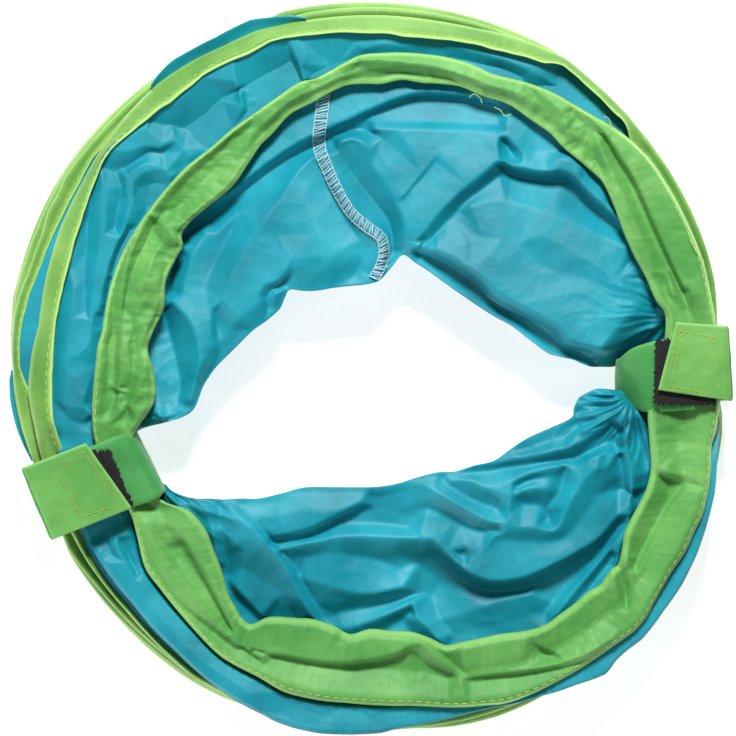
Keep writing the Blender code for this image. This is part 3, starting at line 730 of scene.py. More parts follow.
# Cloth of the front panel: start under the hem and edge of the hole, clockwise from the left strap
UPPER = (
    ((124, 434), (138, 431)), ((125, 405), (162, 423)), ((128, 370), (180, 418)), ((130, 340), (193, 409)),
    ((138, 310), (202, 387)), ((143, 285), (208, 377)), ((150, 262), (216, 366)), ((158, 240), (232, 350)),
    ((170, 218), (251, 331)), ((188, 195), (266, 320)), ((208, 170), (279, 308)), ((230, 148), (284, 297)),
    ((250, 125), (289, 289)), ((270, 105), (301, 290)), ((295, 85), (315, 290)), ((320, 70), (333, 287)),
    ((345, 60), (350, 285)), ((370, 57), (368, 283)), ((395, 57), (380, 279)), ((420, 60), (392, 266)),
    ((445, 65), (403, 254)), ((470, 73), (416, 262)), ((495, 84), (430, 271)), ((520, 98), (452, 287)),
    ((545, 113), (478, 305)), ((568, 130), (495, 316)), ((590, 150), (513, 326)), ((608, 170), (531, 340)),
    ((622, 195), (549, 353)), ((634, 222), (562, 357)), ((645, 248), (575, 360)), ((655, 270), (584, 364)),
    ((664, 290), (595, 367)), ((674, 306), (608, 364)), ((680, 318), (619, 358)), ((684, 330), (626, 352)),
)
RIGHT_ZONE = (((686, 345), (631, 352)), ((687, 365), (632, 368)), ((686, 388), (631, 388)))
LOWER = (
    ((684, 405), (624, 404)), ((680, 432), (617, 392)), ((678, 458), (606, 389)), ((672, 485), (597, 389)),
    ((665, 510), (588, 393)), ((655, 535), (580, 398)), ((645, 560), (575, 408)), ((632, 583), (572, 418)),
    ((616, 602), (551, 428)), ((596, 620), (529, 438)), ((573, 638), (512, 449)), ((550, 650), (495, 461)),
    ((525, 658), (475, 466)), ((500, 665), (456, 472)), ((475, 670), (438, 473)), ((450, 672), (418, 478)),
    ((425, 672), (399, 484)), ((400, 672), (383, 487)), ((372, 672), (368, 488)), ((345, 670), (336, 488)),
    ((318, 667), (305, 488)), ((290, 662), (281, 494)), ((262, 655), (258, 499)), ((235, 645), (240, 499)),
    ((216, 626), (223, 500)), ((199, 603), (209, 499)), ((184, 583), (195, 499)), ((171, 560), (182, 496)),
    ((158, 537), (171, 491)), ((146, 515), (163, 484)),
)
LEFT_ZONE = (((134, 497), (150, 486)), ((124, 478), (134, 465)), ((120, 455), (127, 446)))
# Outer edge of the cloth between the hem and the bands, where it isn't under the front tape's flange
SKIRT_EDGE = (
    (0, 340), (7, 341), (10, 344), (14, 344), (25, 346), (38, 347), (41, 348), (43, 352), (197, 324),
    (205, 326), (210.5, 330), (212, 331.5), (215, 333), (220, 334.5), (225, 335.5), (230, 340), (235, 344),
    (240, 350), (243, 354), (246, 357), (248.5, 360), (250, 361.5), (253, 364), (255, 367), (258, 369),
    (262, 370), (266, 368.5), (270, 367), (272, 366), (274, 363), (277, 361.5), (282, 360.5), (287, 360.5),
    (290, 362), (293, 366.5), (297.5, 371), (300, 375), (303, 379), (305, 383), (307.5, 387.5), (309, 385),
    (310, 383), (312, 382.5), (315, 385), (318, 383.5), (320, 382), (325, 380.5), (330, 377), (335, 372),
    (340, 367), (344, 361), (348, 357), (352, 351), (356, 342),
)

# Folds, traced in pixels
# Ridges and valleys of the hanging cloth: points of (x, y, height in mm); between them it is flat
UPPER_LINES = (
    # shadowed crease under the hem, and the edge of cloth above it
    ((196, 214, -1), (226, 196, 0), (252, 174, 0.2), (274, 158, 0.5), (294, 145, 0.6), (314, 135, 0.6),
     (338, 124, 0.6), (354, 117, 0.6)),
    ((186, 232, -4), (205, 222, -4.5), (232, 201, -4.6), (258, 180, -4.6), (280, 164, -4.8),
     (300, 152, -5.2), (320, 142, -5.2), (345, 131, -5), (368, 131, -3.8), (382, 137, -1)),
    ((212, 236, -0.4), (236, 216, -1.0), (258, 198, -1.6), (278, 184, -1.2), (298, 166, -0.4)),
    # left end
    ((181, 236, -4.6), (175, 256, -4.6), (170, 276, -4.4), (168, 296, -4)),
    ((206, 232, 0), (194, 252, 0.5), (186, 276, 0.2), (182, 296, 0)),
    ((240, 212, -1.4), (226, 240, -1.8), (214, 264, -1.8), (206, 284, -0.8)),
    ((165, 293, -1), (176, 306, 0.8), (186, 316, 1.4), (195, 332, 2.0), (199, 352, 2.2), (198, 375, 2.0),
     (192, 398, 1.4)),
    ((164, 312, -4), (170, 335, -4.8), (177, 362, -4.8), (181, 385, -4.4), (177, 405, -3)),
    ((210, 311, 0.8), (211, 325, 1.0), (212, 342, 0.8)),
    ((215, 311, -0.2), (217, 322, -1.8), (218, 336, -1.5), (219, 350, -0.3)),
    # main facets left of the seam
    ((311, 158, 0.6), (296, 174, 1.2), (282, 197, 1.6), (262, 223, 1.8), (246, 246, 1.7), (232, 272, 1.5),
     (222, 300, 1.2)),
    ((280, 222, 1.1), (277, 240, 0.4), (275, 255, 0.8)),
    ((305, 180, 0.5), (308, 205, 0.9), (318, 232, 1.2), (330, 256, 1.4)),
    ((321, 170, -0.6), (328, 188, -1.6), (338, 208, -1.8), (350, 227, -1.7), (362, 241, -1.2),
     (368, 252, -1.6), (358, 268, -1.6), (352, 280, -1)),
    ((322, 156, 1.0), (331, 176, 1.2), (343, 197, 1.0), (357, 218, 0.8), (372, 232, 0.8), (383, 244, 0.8),
     (383, 262, 0.4), (376, 278, 0)),
    ((290, 260, 1.9), (286, 272, 2.0), (278, 281, 1.8), (266, 284, 1.2), (258, 296, 1.2)),
    ((292, 274, 0.6), (286, 284, -1.0), (275, 288, -1.4), (268, 296, -1.2), (268, 306, -0.8)),
    ((286, 290, 1.2), (275, 293, 1.2), (273, 301, 1.0), (277, 308, 0.6)),
    # hollow right of the seam
    ((338, 152, -0.6), (348, 168, -2.2), (362, 186, -3.2), (376, 204, -3.8), (388, 220, -4.2),
     (392, 236, -4.2), (391, 250, -3.6), (387, 264, -2)),
    ((352, 142, -0.2), (366, 158, -0.4), (382, 178, -0.4), (396, 202, 0.4), (404, 222, 1.0),
     (406, 244, 1.0)),
    ((340, 140, 0.6), (352, 138, 0.8), (364, 143, 0.8), (368, 150, 0.4)),
    # crease along the top and the ridge under it
    ((354, 116, 0.6), (374, 108, 0.8), (400, 98, 0.8), (420, 93, 0.8), (455, 94, 0.8), (480, 97, 0.8),
     (502, 104, 0.4)),
    ((354, 124, -3.4), (376, 113, -3.2), (400, 103, -3.4), (420, 98, -3.6), (455, 99, -3.6),
     (480, 102, -3.6), (498, 109, -3)),
    ((374, 122, -1.4), (414, 122, -1.6), (459, 123, -1.6), (498, 125, -1.4)),
    ((374, 130, 0.2), (414, 129, 0.8), (459, 130, 0.8), (496, 131, 1.0), (506, 133, 1.4)),
    # diagonal edge and its shadow
    ((440, 152, 1.6), (428, 168, 1.3), (414, 184, 1.2), (402, 197, 1.2)),
    ((435, 160, 0.8), (424, 174, 0.3), (412, 188, 0.3), (403, 200, 0.5)),
    ((500, 132, 1.8), (498, 146, 2.6), (498, 158, 3.2), (492, 166, 3.2), (480, 176, 3.1), (460, 192, 2.8),
     (440, 212, 2.4), (424, 232, 2.0), (410, 250, 1.4)),
    ((506, 170, -2.2), (488, 184, -1.6), (468, 200, -1.4), (448, 220, -1.2), (432, 238, -0.8),
     (420, 250, 0)),
    # pocket and the edge over the dark recess
    ((507, 138, 1.6), (516, 146, 1.8), (526, 158, 1.8), (520, 164, 2.4)),
    ((504, 142, -1.6), (509, 150, -2.0), (514, 158, -0.6)),
    ((532, 158, 1.2), (545, 166, 1.8), (556, 160, 2.4), (570, 158, 2.6), (580, 164, 2.2)),
    ((536, 152, 0.0), (550, 152, -0.2), (566, 150, -0.6), (584, 160, -0.6)),
    ((500, 160, 3.2), (510, 165, 3.0), (530, 170, 3.0), (548, 172, 3.0), (560, 170, 3.0), (574, 175, 2.8),
     (588, 190, 2.6), (606, 206, 2.4), (624, 222, 2.0)),
    ((505, 168, -4), (514, 174, -4.4), (535, 178, -4.4), (552, 180, -4.4), (565, 183, -4.4),
     (580, 200, -4.4), (600, 216, -4.4), (624, 234, -4.2)),
    ((470, 206, 0.6), (500, 200, 0.8), (521, 205, 0.8), (562, 218, 0.8), (607, 238, 0.6), (636, 252, 0)),
    # broad panel down to the step
    ((500, 238, 1.8), (528, 246, 1.3), (536, 262, 1.2), (556, 272, 1.4), (584, 278, 1.7), (604, 290, 2.0)),
    ((540, 234, 1.8), (580, 256, 2.0), (620, 280, 2.2)),
    ((466, 243, 1.6), (474, 239, 0.8), (480, 231, 1.2)),
    ((417, 241, 0.4), (430, 237, -0.2), (446, 236, 0.8)),
    ((412, 247, 1.8), (425, 248, 2.4), (448, 257, 3.0), (466, 268, 3.4), (480, 277, 3.6), (498, 296, 3.8),
     (526, 310, 3.8), (558, 328, 3.8), (566, 340, 3.6), (588, 346, 3.4), (610, 351, 3.0)),
    ((418, 252, -2), (446, 262, -3.2), (462, 273, -3.4), (476, 282, -3.4), (494, 301, -3.4),
     (522, 315, -3.4), (552, 333, -3.2), (562, 345, -3.0), (586, 351, -2.4), (606, 357, -2)),
    ((640, 262, 1.0), (656, 290, 1.2), (664, 308, 1.0)),
    ((632, 346, 1.8), (650, 330, 1.8), (668, 315, 1.4)),
)
LOWER_LINES = (
    # left end
    ((206, 506, 0.8), (212, 530, 1.0), (216, 560, 0.8)),
    ((219, 503, -0.4), (220, 516, -0.8), (221, 530, -0.2)),
    ((224, 540, -1.4), (227, 560, -2.6), (228, 580, -2.6), (233, 593, -1.8), (248, 608, -1.8),
     (260, 620, -1.6)),
    ((234, 586, 0.8), (247, 600, 0.9), (262, 616, 0.6)),
    ((226, 505, 1.0), (240, 518, 2.0), (258, 533, 2.4), (272, 548, 2.8), (288, 568, 2.8), (298, 590, 2.6),
     (308, 608, 2.2), (316, 622, 1.4)),
    ((240, 508, 0.2), (256, 522, 0.2), (268, 537, -1.2)),
    ((282, 554, -2.2), (298, 572, -2.2), (308, 592, -2.2), (319, 610, -2)),
    ((236, 545, 1.2), (258, 556, 1.0), (276, 566, 1.2)),
    ((244, 568, -0.4), (262, 580, -0.6), (282, 592, 0.4)),
    # crease, the edge above it and the ridge below it
    ((276, 536, 1.0), (292, 533, 1.2), (311, 528, 1.4), (330, 519, 1.4), (345, 511, 1.2), (362, 502, 0.6)),
    ((272, 543, -2.6), (290, 539, -3.0), (311, 535, -3.6), (330, 526, -4.0), (345, 518, -4.2),
     (366, 510, -3.8), (388, 508, -3.4), (408, 516, -3)),
    ((350, 524, -3.4), (380, 524, -3.4), (408, 528, -2.4)),
    ((282, 549, 0.0), (300, 544, 0.9), (330, 538, 1.2), (360, 536, 1.5), (390, 537, 1.6), (416, 538, 1.8),
     (432, 541, 2.0)),
    ((290, 557, -1.6), (310, 556, -1.8), (334, 552, -0.4), (356, 556, -1.8), (380, 560, -2.6),
     (398, 570, -3.6)),
    ((306, 580, -0.4), (330, 586, 0.8), (350, 592, 1.2), (372, 594, 1.3), (392, 590, 1.2), (402, 588, 0.2)),
    ((322, 618, -2.2), (345, 611, -2.8), (370, 606, -3.0), (398, 600, -3.6), (420, 593, -4.6)),
    ((396, 546, 0.0), (406, 556, -3.6), (424, 566, -5.6), (440, 582, -6.2), (432, 594, -5.6)),
    ((342, 630, 0.0), (368, 622, 0.8), (392, 612, 1.0), (412, 602, 0.2)),
    ((378, 637, -2.0), (394, 624, -2.4), (412, 613, -3.0)),
    ((416, 617, 1.0), (426, 626, 1.2), (438, 640, 0.8)),
    ((440, 620, -2.0), (470, 611, -0.6), (500, 601, -0.2), (530, 594, -0.2)),
    ((456, 634, -2.2), (490, 626, -1.6), (524, 616, -1.4)),
    # along the hole's right end
    ((418, 482, 1.0), (432, 490, 1.6), (446, 498, 1.9), (463, 508, 2.2), (480, 517, 2.5), (494, 523, 2.7),
     (503, 524, 2.7), (509, 517, 2.4), (509, 505, 2.0), (512, 496, 1.7), (520, 490, 1.5), (534, 488, 1.3),
     (548, 490, 0.8)),
    ((404, 500, -1.6), (430, 508, -1.8), (452, 520, -2.0), (474, 530, -1.6), (498, 531, -0.6)),
    ((446, 484, -0.6), (462, 494, -1.2), (480, 503, -1.4), (496, 508, -1.6)),
    ((452, 480, 0.8), (472, 480, 1.0), (486, 488, 0.8)),
    ((440, 474, -0.8), (462, 471, -1.8), (490, 469, -1.8), (520, 466, -2.0), (545, 462, -2.2),
     (566, 459, -3.0), (590, 452, -3.8), (602, 445, -4.2), (614, 438, -4.4), (622, 430, -4)),
    ((480, 463, 0.6), (505, 460, 1.3), (540, 454, 1.6), (570, 447, 1.8), (592, 436, 1.8), (608, 423, 1.6),
     (618, 409, 1.2)),
    ((520, 450, -0.8), (556, 440, -1.0), (584, 424, -1.0), (600, 408, -0.8)),
    ((512, 482, 0.8), (530, 473, 1.2), (550, 467, 1.2), (564, 465, 0.8)),
    ((516, 489, -1.4), (530, 480, -1.8), (546, 476, -0.6), (556, 474, -0.6)),
    ((565, 468, -2.4), (563, 480, -2.4), (560, 491, -1.8)),
    ((572, 470, 1.0), (590, 458, 1.6), (606, 452, 1.2)),
    ((522, 504, -1.8), (540, 506, -2.2), (550, 516, -2.2), (546, 522, -1.6)),
    # bright ridge and the broad facet under it, down to its edge
    ((496, 534, 2.0), (509, 529, 2.8), (540, 528, 3.2), (555, 530, 3.4), (562, 519, 3.2), (571, 498, 3.2),
     (584, 480, 3.2), (597, 468, 3.2), (606, 468, 2.8), (618, 452, 2.2)),
    ((500, 539, 1.2), (530, 541, 1.3), (558, 540, 1.4), (574, 528, 1.2), (590, 506, 1.2), (604, 488, 0.6)),
    ((432, 541, 2.0), (442, 549, 2.6), (454, 560, 3.2), (466, 571, 3.8), (480, 579, 4.2), (494, 582, 4.4),
     (524, 578, 4.4), (558, 563, 4.2), (580, 551, 3.8), (600, 538, 3.2), (618, 516, 2.2)),
    ((436, 550, -3.0), (448, 564, -4.2), (462, 578, -4.0), (480, 587, -3.8), (500, 590, -3.8),
     (526, 586, -3.8), (560, 571, -3.4), (584, 558, -3.0), (604, 545, -2.4), (622, 522, -1.6)),
    ((450, 549, 1.2), (462, 557, -0.2), (465, 551, 0.2)),
    ((466, 547, 2.2), (476, 553, 2.0), (488, 562, 2.6)),
    ((612, 490, -1.8), (624, 490, -2.8), (634, 496, -1.0)),
    # folds that come down from the right strap
    ((621, 405, 1.2), (624, 425, 2.4), (627, 450, 2.8), (631, 475, 3.0), (631, 500, 2.8), (630, 520, 2.6),
     (622, 545, 2.2), (616, 562, 1.6)),
    ((616, 436, -3.6), (619, 460, -2.0), (624, 482, -1.6)),
    ((630, 424, 0.4), (640, 445, 0.2), (652, 470, 0.4)),
    ((634, 418, 1.4), (646, 440, 1.4), (654, 460, 1.2)),
    ((545, 612, -2.6), (570, 582, -3.0), (596, 552, -3.0), (616, 528, -2.4)),
    ((556, 614, 0.4), (580, 584, 1.1), (604, 556, 1.4), (622, 530, 1.2)),
    ((572, 608, -1.6), (592, 584, -2.0), (612, 558, -2.0)),
    ((588, 600, 0.3), (606, 580, 0.7), (617, 566, 0.6)),
)
HEM_LINES = (
    # lip of the turned-in flap at the bottom, and the fold that ends it
    ((241, 641, 1.0), (265, 651, 1.5), (290, 656, 1.7), (340, 662, 1.8), (375, 659, 1.8), (402, 651, 1.8),
     (420, 643, 1.8), (438, 657, 2.0), (452, 668, 1.9), (462, 677, 1.2)),
    ((252, 651, -0.5), (290, 660, -0.8), (340, 666.5, -0.8), (375, 663.5, -0.8), (400, 657, -0.8),
     (413, 650, -0.6), (427, 665, -0.8), (448, 676, -0.6)),
    ((424, 641, 0.6), (444, 657, -0.7), (458, 671, -0.8)),
    ((342, 633, -0.8), (343, 643, 0.2)),
    ((262, 632, 0.6), (300, 636, 0.9), (338, 645, 0.9), (380, 642, 1.0)),
    ((410, 657, -0.2), (413, 687, -0.5)),
    # lip to the right of it
    ((468, 677, 1.2), (499, 673, 1.5), (527, 670, 1.6), (565, 662, 1.6), (590, 653, 1.6), (612, 640, 1.2)),
    ((470, 681, -0.5), (499, 677.5, -0.8), (527, 674.5, -0.8), (567, 666.5, -0.8), (592, 657.5, -0.8),
     (616, 643, -0.5)),
    ((530, 638, 0.2), (540, 650, -1.1), (557, 658, -0.3)),
    ((536, 636, 0.8), (546, 648, 0.9), (561, 656, 0.8)),
    # knot at the bottom left and the folds that run into it
    ((140, 517, 0.6), (170, 566, 1.5), (200, 604, 1.7), (222, 628, 1.6), (237, 643, 1.2)),
    ((136, 530, -0.6), (158, 575, -1.2), (186, 611, -1.4), (215, 634, -1.4), (233, 648, -0.8)),
    ((166, 514, 1.2), (198, 556, 1.4), (222, 602, 1.6), (238, 640, 1.2)),
    ((182, 548, -1.0), (205, 586, -1.2), (230, 630, -1.2)),
    ((243, 646, 1.2), (258, 654, 1.5), (275, 656, 0.6)),
    ((244, 649, -0.4), (258, 660, -1.0), (268, 669, -0.4)),
    ((150, 530, 0.6), (168, 550, -0.6), (184, 574, 0.4)),
    # right side, up to the strap
    ((655, 468, 0.4), (668, 474, 1.8), (690, 477, 0.6)),
    ((657, 474, -0.6), (670, 481, -1.8), (687, 484, -0.4)),
    ((687, 488, 1.4), (676, 500, 1.6), (664, 522, 1.4), (650, 549, 1.4), (638, 574, 1.2)),
    ((680, 487, -1.6), (668, 503, -1.8), (656, 523, -1.6), (643, 549, -1.4), (633, 568, -1.0)),
    ((697, 500, 0.8), (684, 536, 0.9), (664, 574, 0.9), (640, 610, 0.8)),
    ((611, 567, 0.8), (617, 588, 1.6), (622, 610, 1.2), (618, 628, 0.6)),
    ((618, 566, -0.8), (624, 588, -1.0), (627, 606, -0.6)),
    ((627, 560, 0.8), (633, 582, 1.6), (632, 602, 1.4), (624, 622, 0.6)),
    ((672, 418, 0.4), (676, 436, -0.5), (672, 456, 0.4)),
    # upper right: long valley beside the inner flap
    ((572, 112, -0.6), (585, 124, -1.0), (598, 133, -0.6)),
    ((582, 108, 0.8), (600, 126, 1.6), (612, 142, 1.6), (630, 170, 1.6), (648, 208, 1.6), (666, 250, 1.5),
     (682, 284, 1.2)),
    ((604, 136, -1.4), (614, 154, -2.0), (630, 182, -2.2), (645, 216, -2.2), (662, 252, -2.2),
     (678, 286, -2.0), (689, 312, -1.4)),
    ((598, 140, 1.0), (606, 160, 1.0), (622, 192, 0.8), (640, 232, 0.8), (656, 270, 0.8)),
    ((590, 146, -1.0), (596, 160, -1.2), (603, 176, -0.6)),
    ((538, 100, -0.5), (548, 112, -1.0), (560, 118, -0.5)),
    ((546, 98, 0.4), (558, 108, 0.8), (568, 120, 0.4)),
    ((668, 272, 0.8), (674, 290, 1.6), (684, 306, 1.4)),
    ((664, 282, -0.8), (668, 298, -1.2), (676, 312, -0.8)),
    ((692, 286, 1.2), (692, 302, 1.4), (698, 318, 1.0)),
    # top
    ((344, 66, 0.6), (352, 62, 1.2), (372, 60, 1.2), (400, 62, 1.2), (440, 68, 1.2), (480, 80, 1.1),
     (520, 92, 1.0)),
    ((346, 74, -0.2), (358, 70, -1.0), (380, 72, -1.3), (420, 72, -1.3), (450, 77, -0.8)),
    ((352, 56, -0.6), (358, 64, -1.0), (362, 76, -0.6)),
    # upper left
    ((300, 82, 0.8), (312, 84, -0.8), (322, 80, 0.2)),
    ((304, 84, 1.2), (282, 96, 1.4), (256, 112, 1.2), (226, 138, 1.2), (196, 160, 1.2), (172, 184, 1.2)),
    ((252, 126, -0.5), (224, 148, -0.9), (196, 172, -0.9), (172, 198, -0.9), (152, 232, -0.8)),
    ((250, 140, 0.4), (236, 136, -0.8), (224, 146, -0.2)),
    # left side
    ((157, 218, 0.8), (170, 232, 1.6), (178, 242, 1.2)),
    ((160, 240, -0.8), (168, 256, -1.4), (164, 272, -0.8)),
    ((148, 262, 1.0), (158, 276, 1.4), (163, 292, 1.0)),
    ((134, 242, 1.2), (126, 270, 1.6), (122, 300, 1.7), (121, 340, 1.7), (120, 380, 1.4), (116, 412, 0.8)),
    ((128, 240, -0.9), (119, 268, -1.6), (114, 300, -1.8), (112, 340, -1.8), (108, 380, -1.5),
     (104, 404, -0.8)),
    ((150, 306, -0.6), (158, 322, -1.2), (154, 338, -0.8)),
    ((146, 330, 0.8), (150, 352, 1.2), (144, 374, 0.8)),
    ((132, 318, -0.4), (134, 350, -0.8), (130, 390, -0.8), (124, 420, -0.6)),
    ((106, 414, -1.0), (114, 404, -1.2), (120, 388, -0.6)),
    ((110, 424, 0.8), (122, 412, 1.2), (134, 398, 0.8)),
)
SKIRT_LINES = (
    # dark step and creases at the top left
    ((292, 38, 1.2), (297, 56, 1.8), (304, 82, 2.2)),
    ((287, 44, -0.6), (291, 60, -2.2), (298, 80, -2.4)),
    ((231, 62, 0.6), (237, 84, 0.8), (243, 106, 0.6)),
    ((235, 58, -0.4), (242, 82, -1.2), (248, 112, -0.8)),
    ((283, 68, -2.2), (262, 79, -2.4), (243, 88, -2.6), (222, 100, -2.6), (202, 120, -2.8), (184, 128, -2.6),
     (160, 124, -2.2), (146, 120, -1.2)),
    # crumpled corner
    ((112, 148, 0.4), (128, 142, 1.8), (146, 141, 2.0), (160, 146, 1.4)),
    ((100, 168, -1.0), (118, 170, -2.2), (134, 163, -2.2), (150, 152, -1.8), (162, 152, -1.4)),
    ((128, 192, 1.6), (132, 177, 2.0), (142, 168, 2.0), (160, 169, 1.6), (173, 177, 1.0)),
    ((138, 188, -0.6), (150, 184, -1.4), (164, 188, -1.2)),
    ((172, 128, -0.6), (180, 146, 0.6), (190, 158, 0.4)),
    # long folds down the left side
    ((96, 176, -1.0), (90, 200, -1.6), (87, 240, -1.8), (85, 280, -1.4), (86, 312, -0.6)),
    ((104, 190, 1.0), (103, 230, 1.2), (98, 270, 1.2), (92, 310, 1.4), (90, 344, 1.2)),
    ((122, 188, -1.4), (119, 206, -1.8), (115, 228, -1.6)),
    ((133, 190, 1.6), (129, 210, 1.8), (124, 228, 1.8), (114, 250, 1.8), (106, 276, 1.6), (100, 310, 1.2)),
    ((131, 232, -1.6), (122, 248, -1.8), (114, 272, -2.0), (108, 300, -1.8), (103, 330, -1.4)),
    ((74, 290, 0.8), (69, 330, 1.0), (66, 370, 0.8)),
    ((64, 404, 1.2), (80, 404, 1.6), (92, 414, 1.8), (100, 424, 1.8), (112, 430, 1.2)),
    ((70, 420, -0.6), (84, 425, -1.0), (97, 435, -0.8)),
    # lower left and bottom
    ((103, 524, -1.2), (107, 540, -1.8), (113, 556, -1.2)),
    ((112, 530, 0.8), (118, 546, 1.0), (126, 562, 1.0), (140, 585, 0.8)),
    ((120, 542, -1.2), (128, 556, -2.2), (137, 574, -1.4)),
    ((150, 606, 0.8), (178, 640, 0.8), (208, 666, 0.8), (250, 694, 0.8)),
    ((294, 702, -0.2), (289, 712, -0.8), (285, 720, -0.2)),
    ((328, 706, -0.2), (327, 716, -0.8), (326, 728, -0.2)),
    ((368, 708, 0.0), (372, 720, -0.5), (374, 730, -0.2)),
    # top right, down to the dark recess
    ((466, 61, -1.6), (500, 70, -2.0), (520, 78, -1.6)),
    ((450, 46, 0.8), (480, 53, 1.0), (520, 66, 1.0), (556, 86, 0.8), (574, 100, 0.2)),
    ((566, 72, -1.8), (590, 95, -3.2), (610, 115, -3.6), (624, 134, -3.4)),
    ((354, 42, -0.6), (362, 48, 0.6), (384, 44, 0.8), (404, 47, 0.4)),
    ((418, 42, 0.4), (417, 52, -0.6)),
)

# The cloth that hangs inside
# Value of OVER from which the skirt is tucked under the front tape
TUCKED_FROM = 0.3


def traced(pairs, side):
    """Outer points of a traced outline, or its inner points where side is 1."""
    return np.array([pair[side] for pair in pairs], float)


def creased_surface(lines, borders):
    """Height field that is flat between traced ridges and valleys, and between them and its borders."""
    spots = list(borders)
    for line in lines:
        length = run_length(np.array(line)[:, :2])[-1]
        spots.append(through(line, max(3, int(length / 4)), False, slice(0, 2)))
    spots.append(np.array(((0, 0, 0), (IMAGE, 0, 0), (IMAGE, IMAGE, 0), (0, IMAGE, 0), (*CENTRE, 0)), float))
    spots = np.vstack(spots)
    found = delaunay_2d_cdt([Vector(p) for p in spots[:, :2]], [], [], 0, 0.3)
    verts, triangles, origins = np.array([v[:] for v in found[0]]), found[2], found[3]
    height = np.array([spots[o[0], 2] if o else 0.0 for o in origins])
    field = np.zeros((FIELD, FIELD))
    for corners in triangles:
        corner = verts[corners] + MARGIN
        low = np.maximum(np.floor(corner.min(0)).astype(int), 0)
        high = np.minimum(np.ceil(corner.max(0)).astype(int) + 1, FIELD)
        y, x = np.mgrid[low[1]:high[1], low[0]:high[0]].astype(float)
        (ax, ay), (bx, by), (cx, cy) = corner
        whole = (bx - ax) * (cy - ay) - (cx - ax) * (by - ay)
        if abs(whole) < 1e-6:
            continue
        u = ((x - ax) * (cy - ay) - (cx - ax) * (y - ay)) / whole
        v = ((bx - ax) * (y - ay) - (x - ax) * (by - ay)) / whole
        inside = (u >= -1e-6) & (v >= -1e-6) & (u + v <= 1 + 1e-6)
        h = height[corners[0]] * (1 - u - v) + height[corners[1]] * u + height[corners[2]] * v
        patch = field[low[1]:high[1], low[0]:high[0]]
        patch[inside] = 0.001 * h[inside]
    return blur(field, 2)


def cloth_borders():
    """The hem's inner edge and middle, and the edge of the hole."""
    inside, outside = traced(HEM, 1), traced(HEM, 0)
    borders = [np.column_stack([inside, np.full(len(HEM), -1.5)]),
               np.column_stack([0.5 * (inside + outside), np.zeros(len(HEM))])]
    for knots in (UPPER, RIGHT_ZONE, LOWER, LEFT_ZONE):
        edge = traced(knots, 1)
        level = np.zeros(len(edge))
        if knots is UPPER:
            level = np.interp(edge[:, 0], (390, 425), (0.6, -3.6))
        borders.append(np.column_stack([edge, level]))
    return borders


def skirt_borders():
    """The hem's outer edge and the inner edge of the front tape."""
    angle = np.arange(0, 360, 6.0)
    tucked = polar(angle, OVER) > TUCKED_FROM
    radius = np.where(tucked, polar(angle, TAPE_4, 2) - 2, polar(angle, SKIRT_EDGE))
    ring = np.column_stack(polar_pixel(angle, radius))
    return [np.column_stack([traced(HEM, 0), np.full(len(HEM), -0.6)]), np.column_stack([ring, 0 * angle])]


def hem_borders():
    """Both edges of the front hem."""
    return [np.column_stack([traced(HEM, side), np.full(len(HEM), 0.2 * side)]) for side in (0, 1)]


def fold_fields():
    """Heights that the folds add to the hanging cloth, the front hem and the skirt."""
    y, x = np.mgrid[0:FIELD, 0:FIELD].astype(float) - MARGIN
    cloth = 1.15 * creased_surface(UPPER_LINES + LOWER_LINES, cloth_borders())
    softer = smooth((y - 330) / 80)
    cloth = blur(cloth, 1) * (1 - softer) + blur(cloth, 4) * softer
    # small folds that run with the cloth and meet at the straps
    below = smooth((y - 345) / 50)
    cloth += (1 - below) * gathers(x, y, GATHER_UPPER, 11)
    cloth += below * gathers(x, y, GATHER_LOWER, 31)
    for size, seed in ((62.0, 5), (27.0, 6)):
        cloth += (0.0003 + 0.0002 * below) * creases(x, y, size, seed)
    hem = blur(1.5 * creased_surface(HEM_LINES, hem_borders()), 1)
    skirt = creased_surface(SKIRT_LINES, skirt_borders()) + 0.0003 * creases(x, y, 30.0, 8)
    return cloth, hem, skirt


CLOTH_FIELD, HEM_FIELD, SKIRT_FIELD = fold_fields()
# How far, in pixels, each panel's cloth stays back from the edge of the front panel's, from the rear
STAGGER = (15.0, 7.0, 12.0, 5.0, 0.0)
# Height of one layer of cloth, and of the middle of the bundle
LAYER = 0.0015
MIDDLE_Z = 0.01585
# Share of its height that the cloth loses at the straps, and how far it rises to the hole elsewhere
FALL = 0.5
RISE = 0.0045
# How much more the lower half rises, and how much lower it starts
LOWER_RISE = 0.0045
LOWER_DROP = 0.0034
# Where the top layer of the front panel starts, and how much lower each layer comes at the hole
FRONT_START_Z = 0.0246
TOP_DROP = 0.0022
LOW_DROP = 0.0010
# Least distance between a panel's two layers
LAYER_GAP = 0.0006
# Radius in metres where the low layers start, under the rings
CLOTH_R = 0.1172
# Farthest from the middle, in pixels, that the edge of a hole is moved back to
HOLE_REACH = 258
# Columns, rows of the top layer and rows of the low layer of each panel's cloth, from the rear
CLOTH_DETAIL = ((616, 16, 60), (392, 14, 12), (392, 14, 12), (448, 24, 12), (1204, 116, 24))


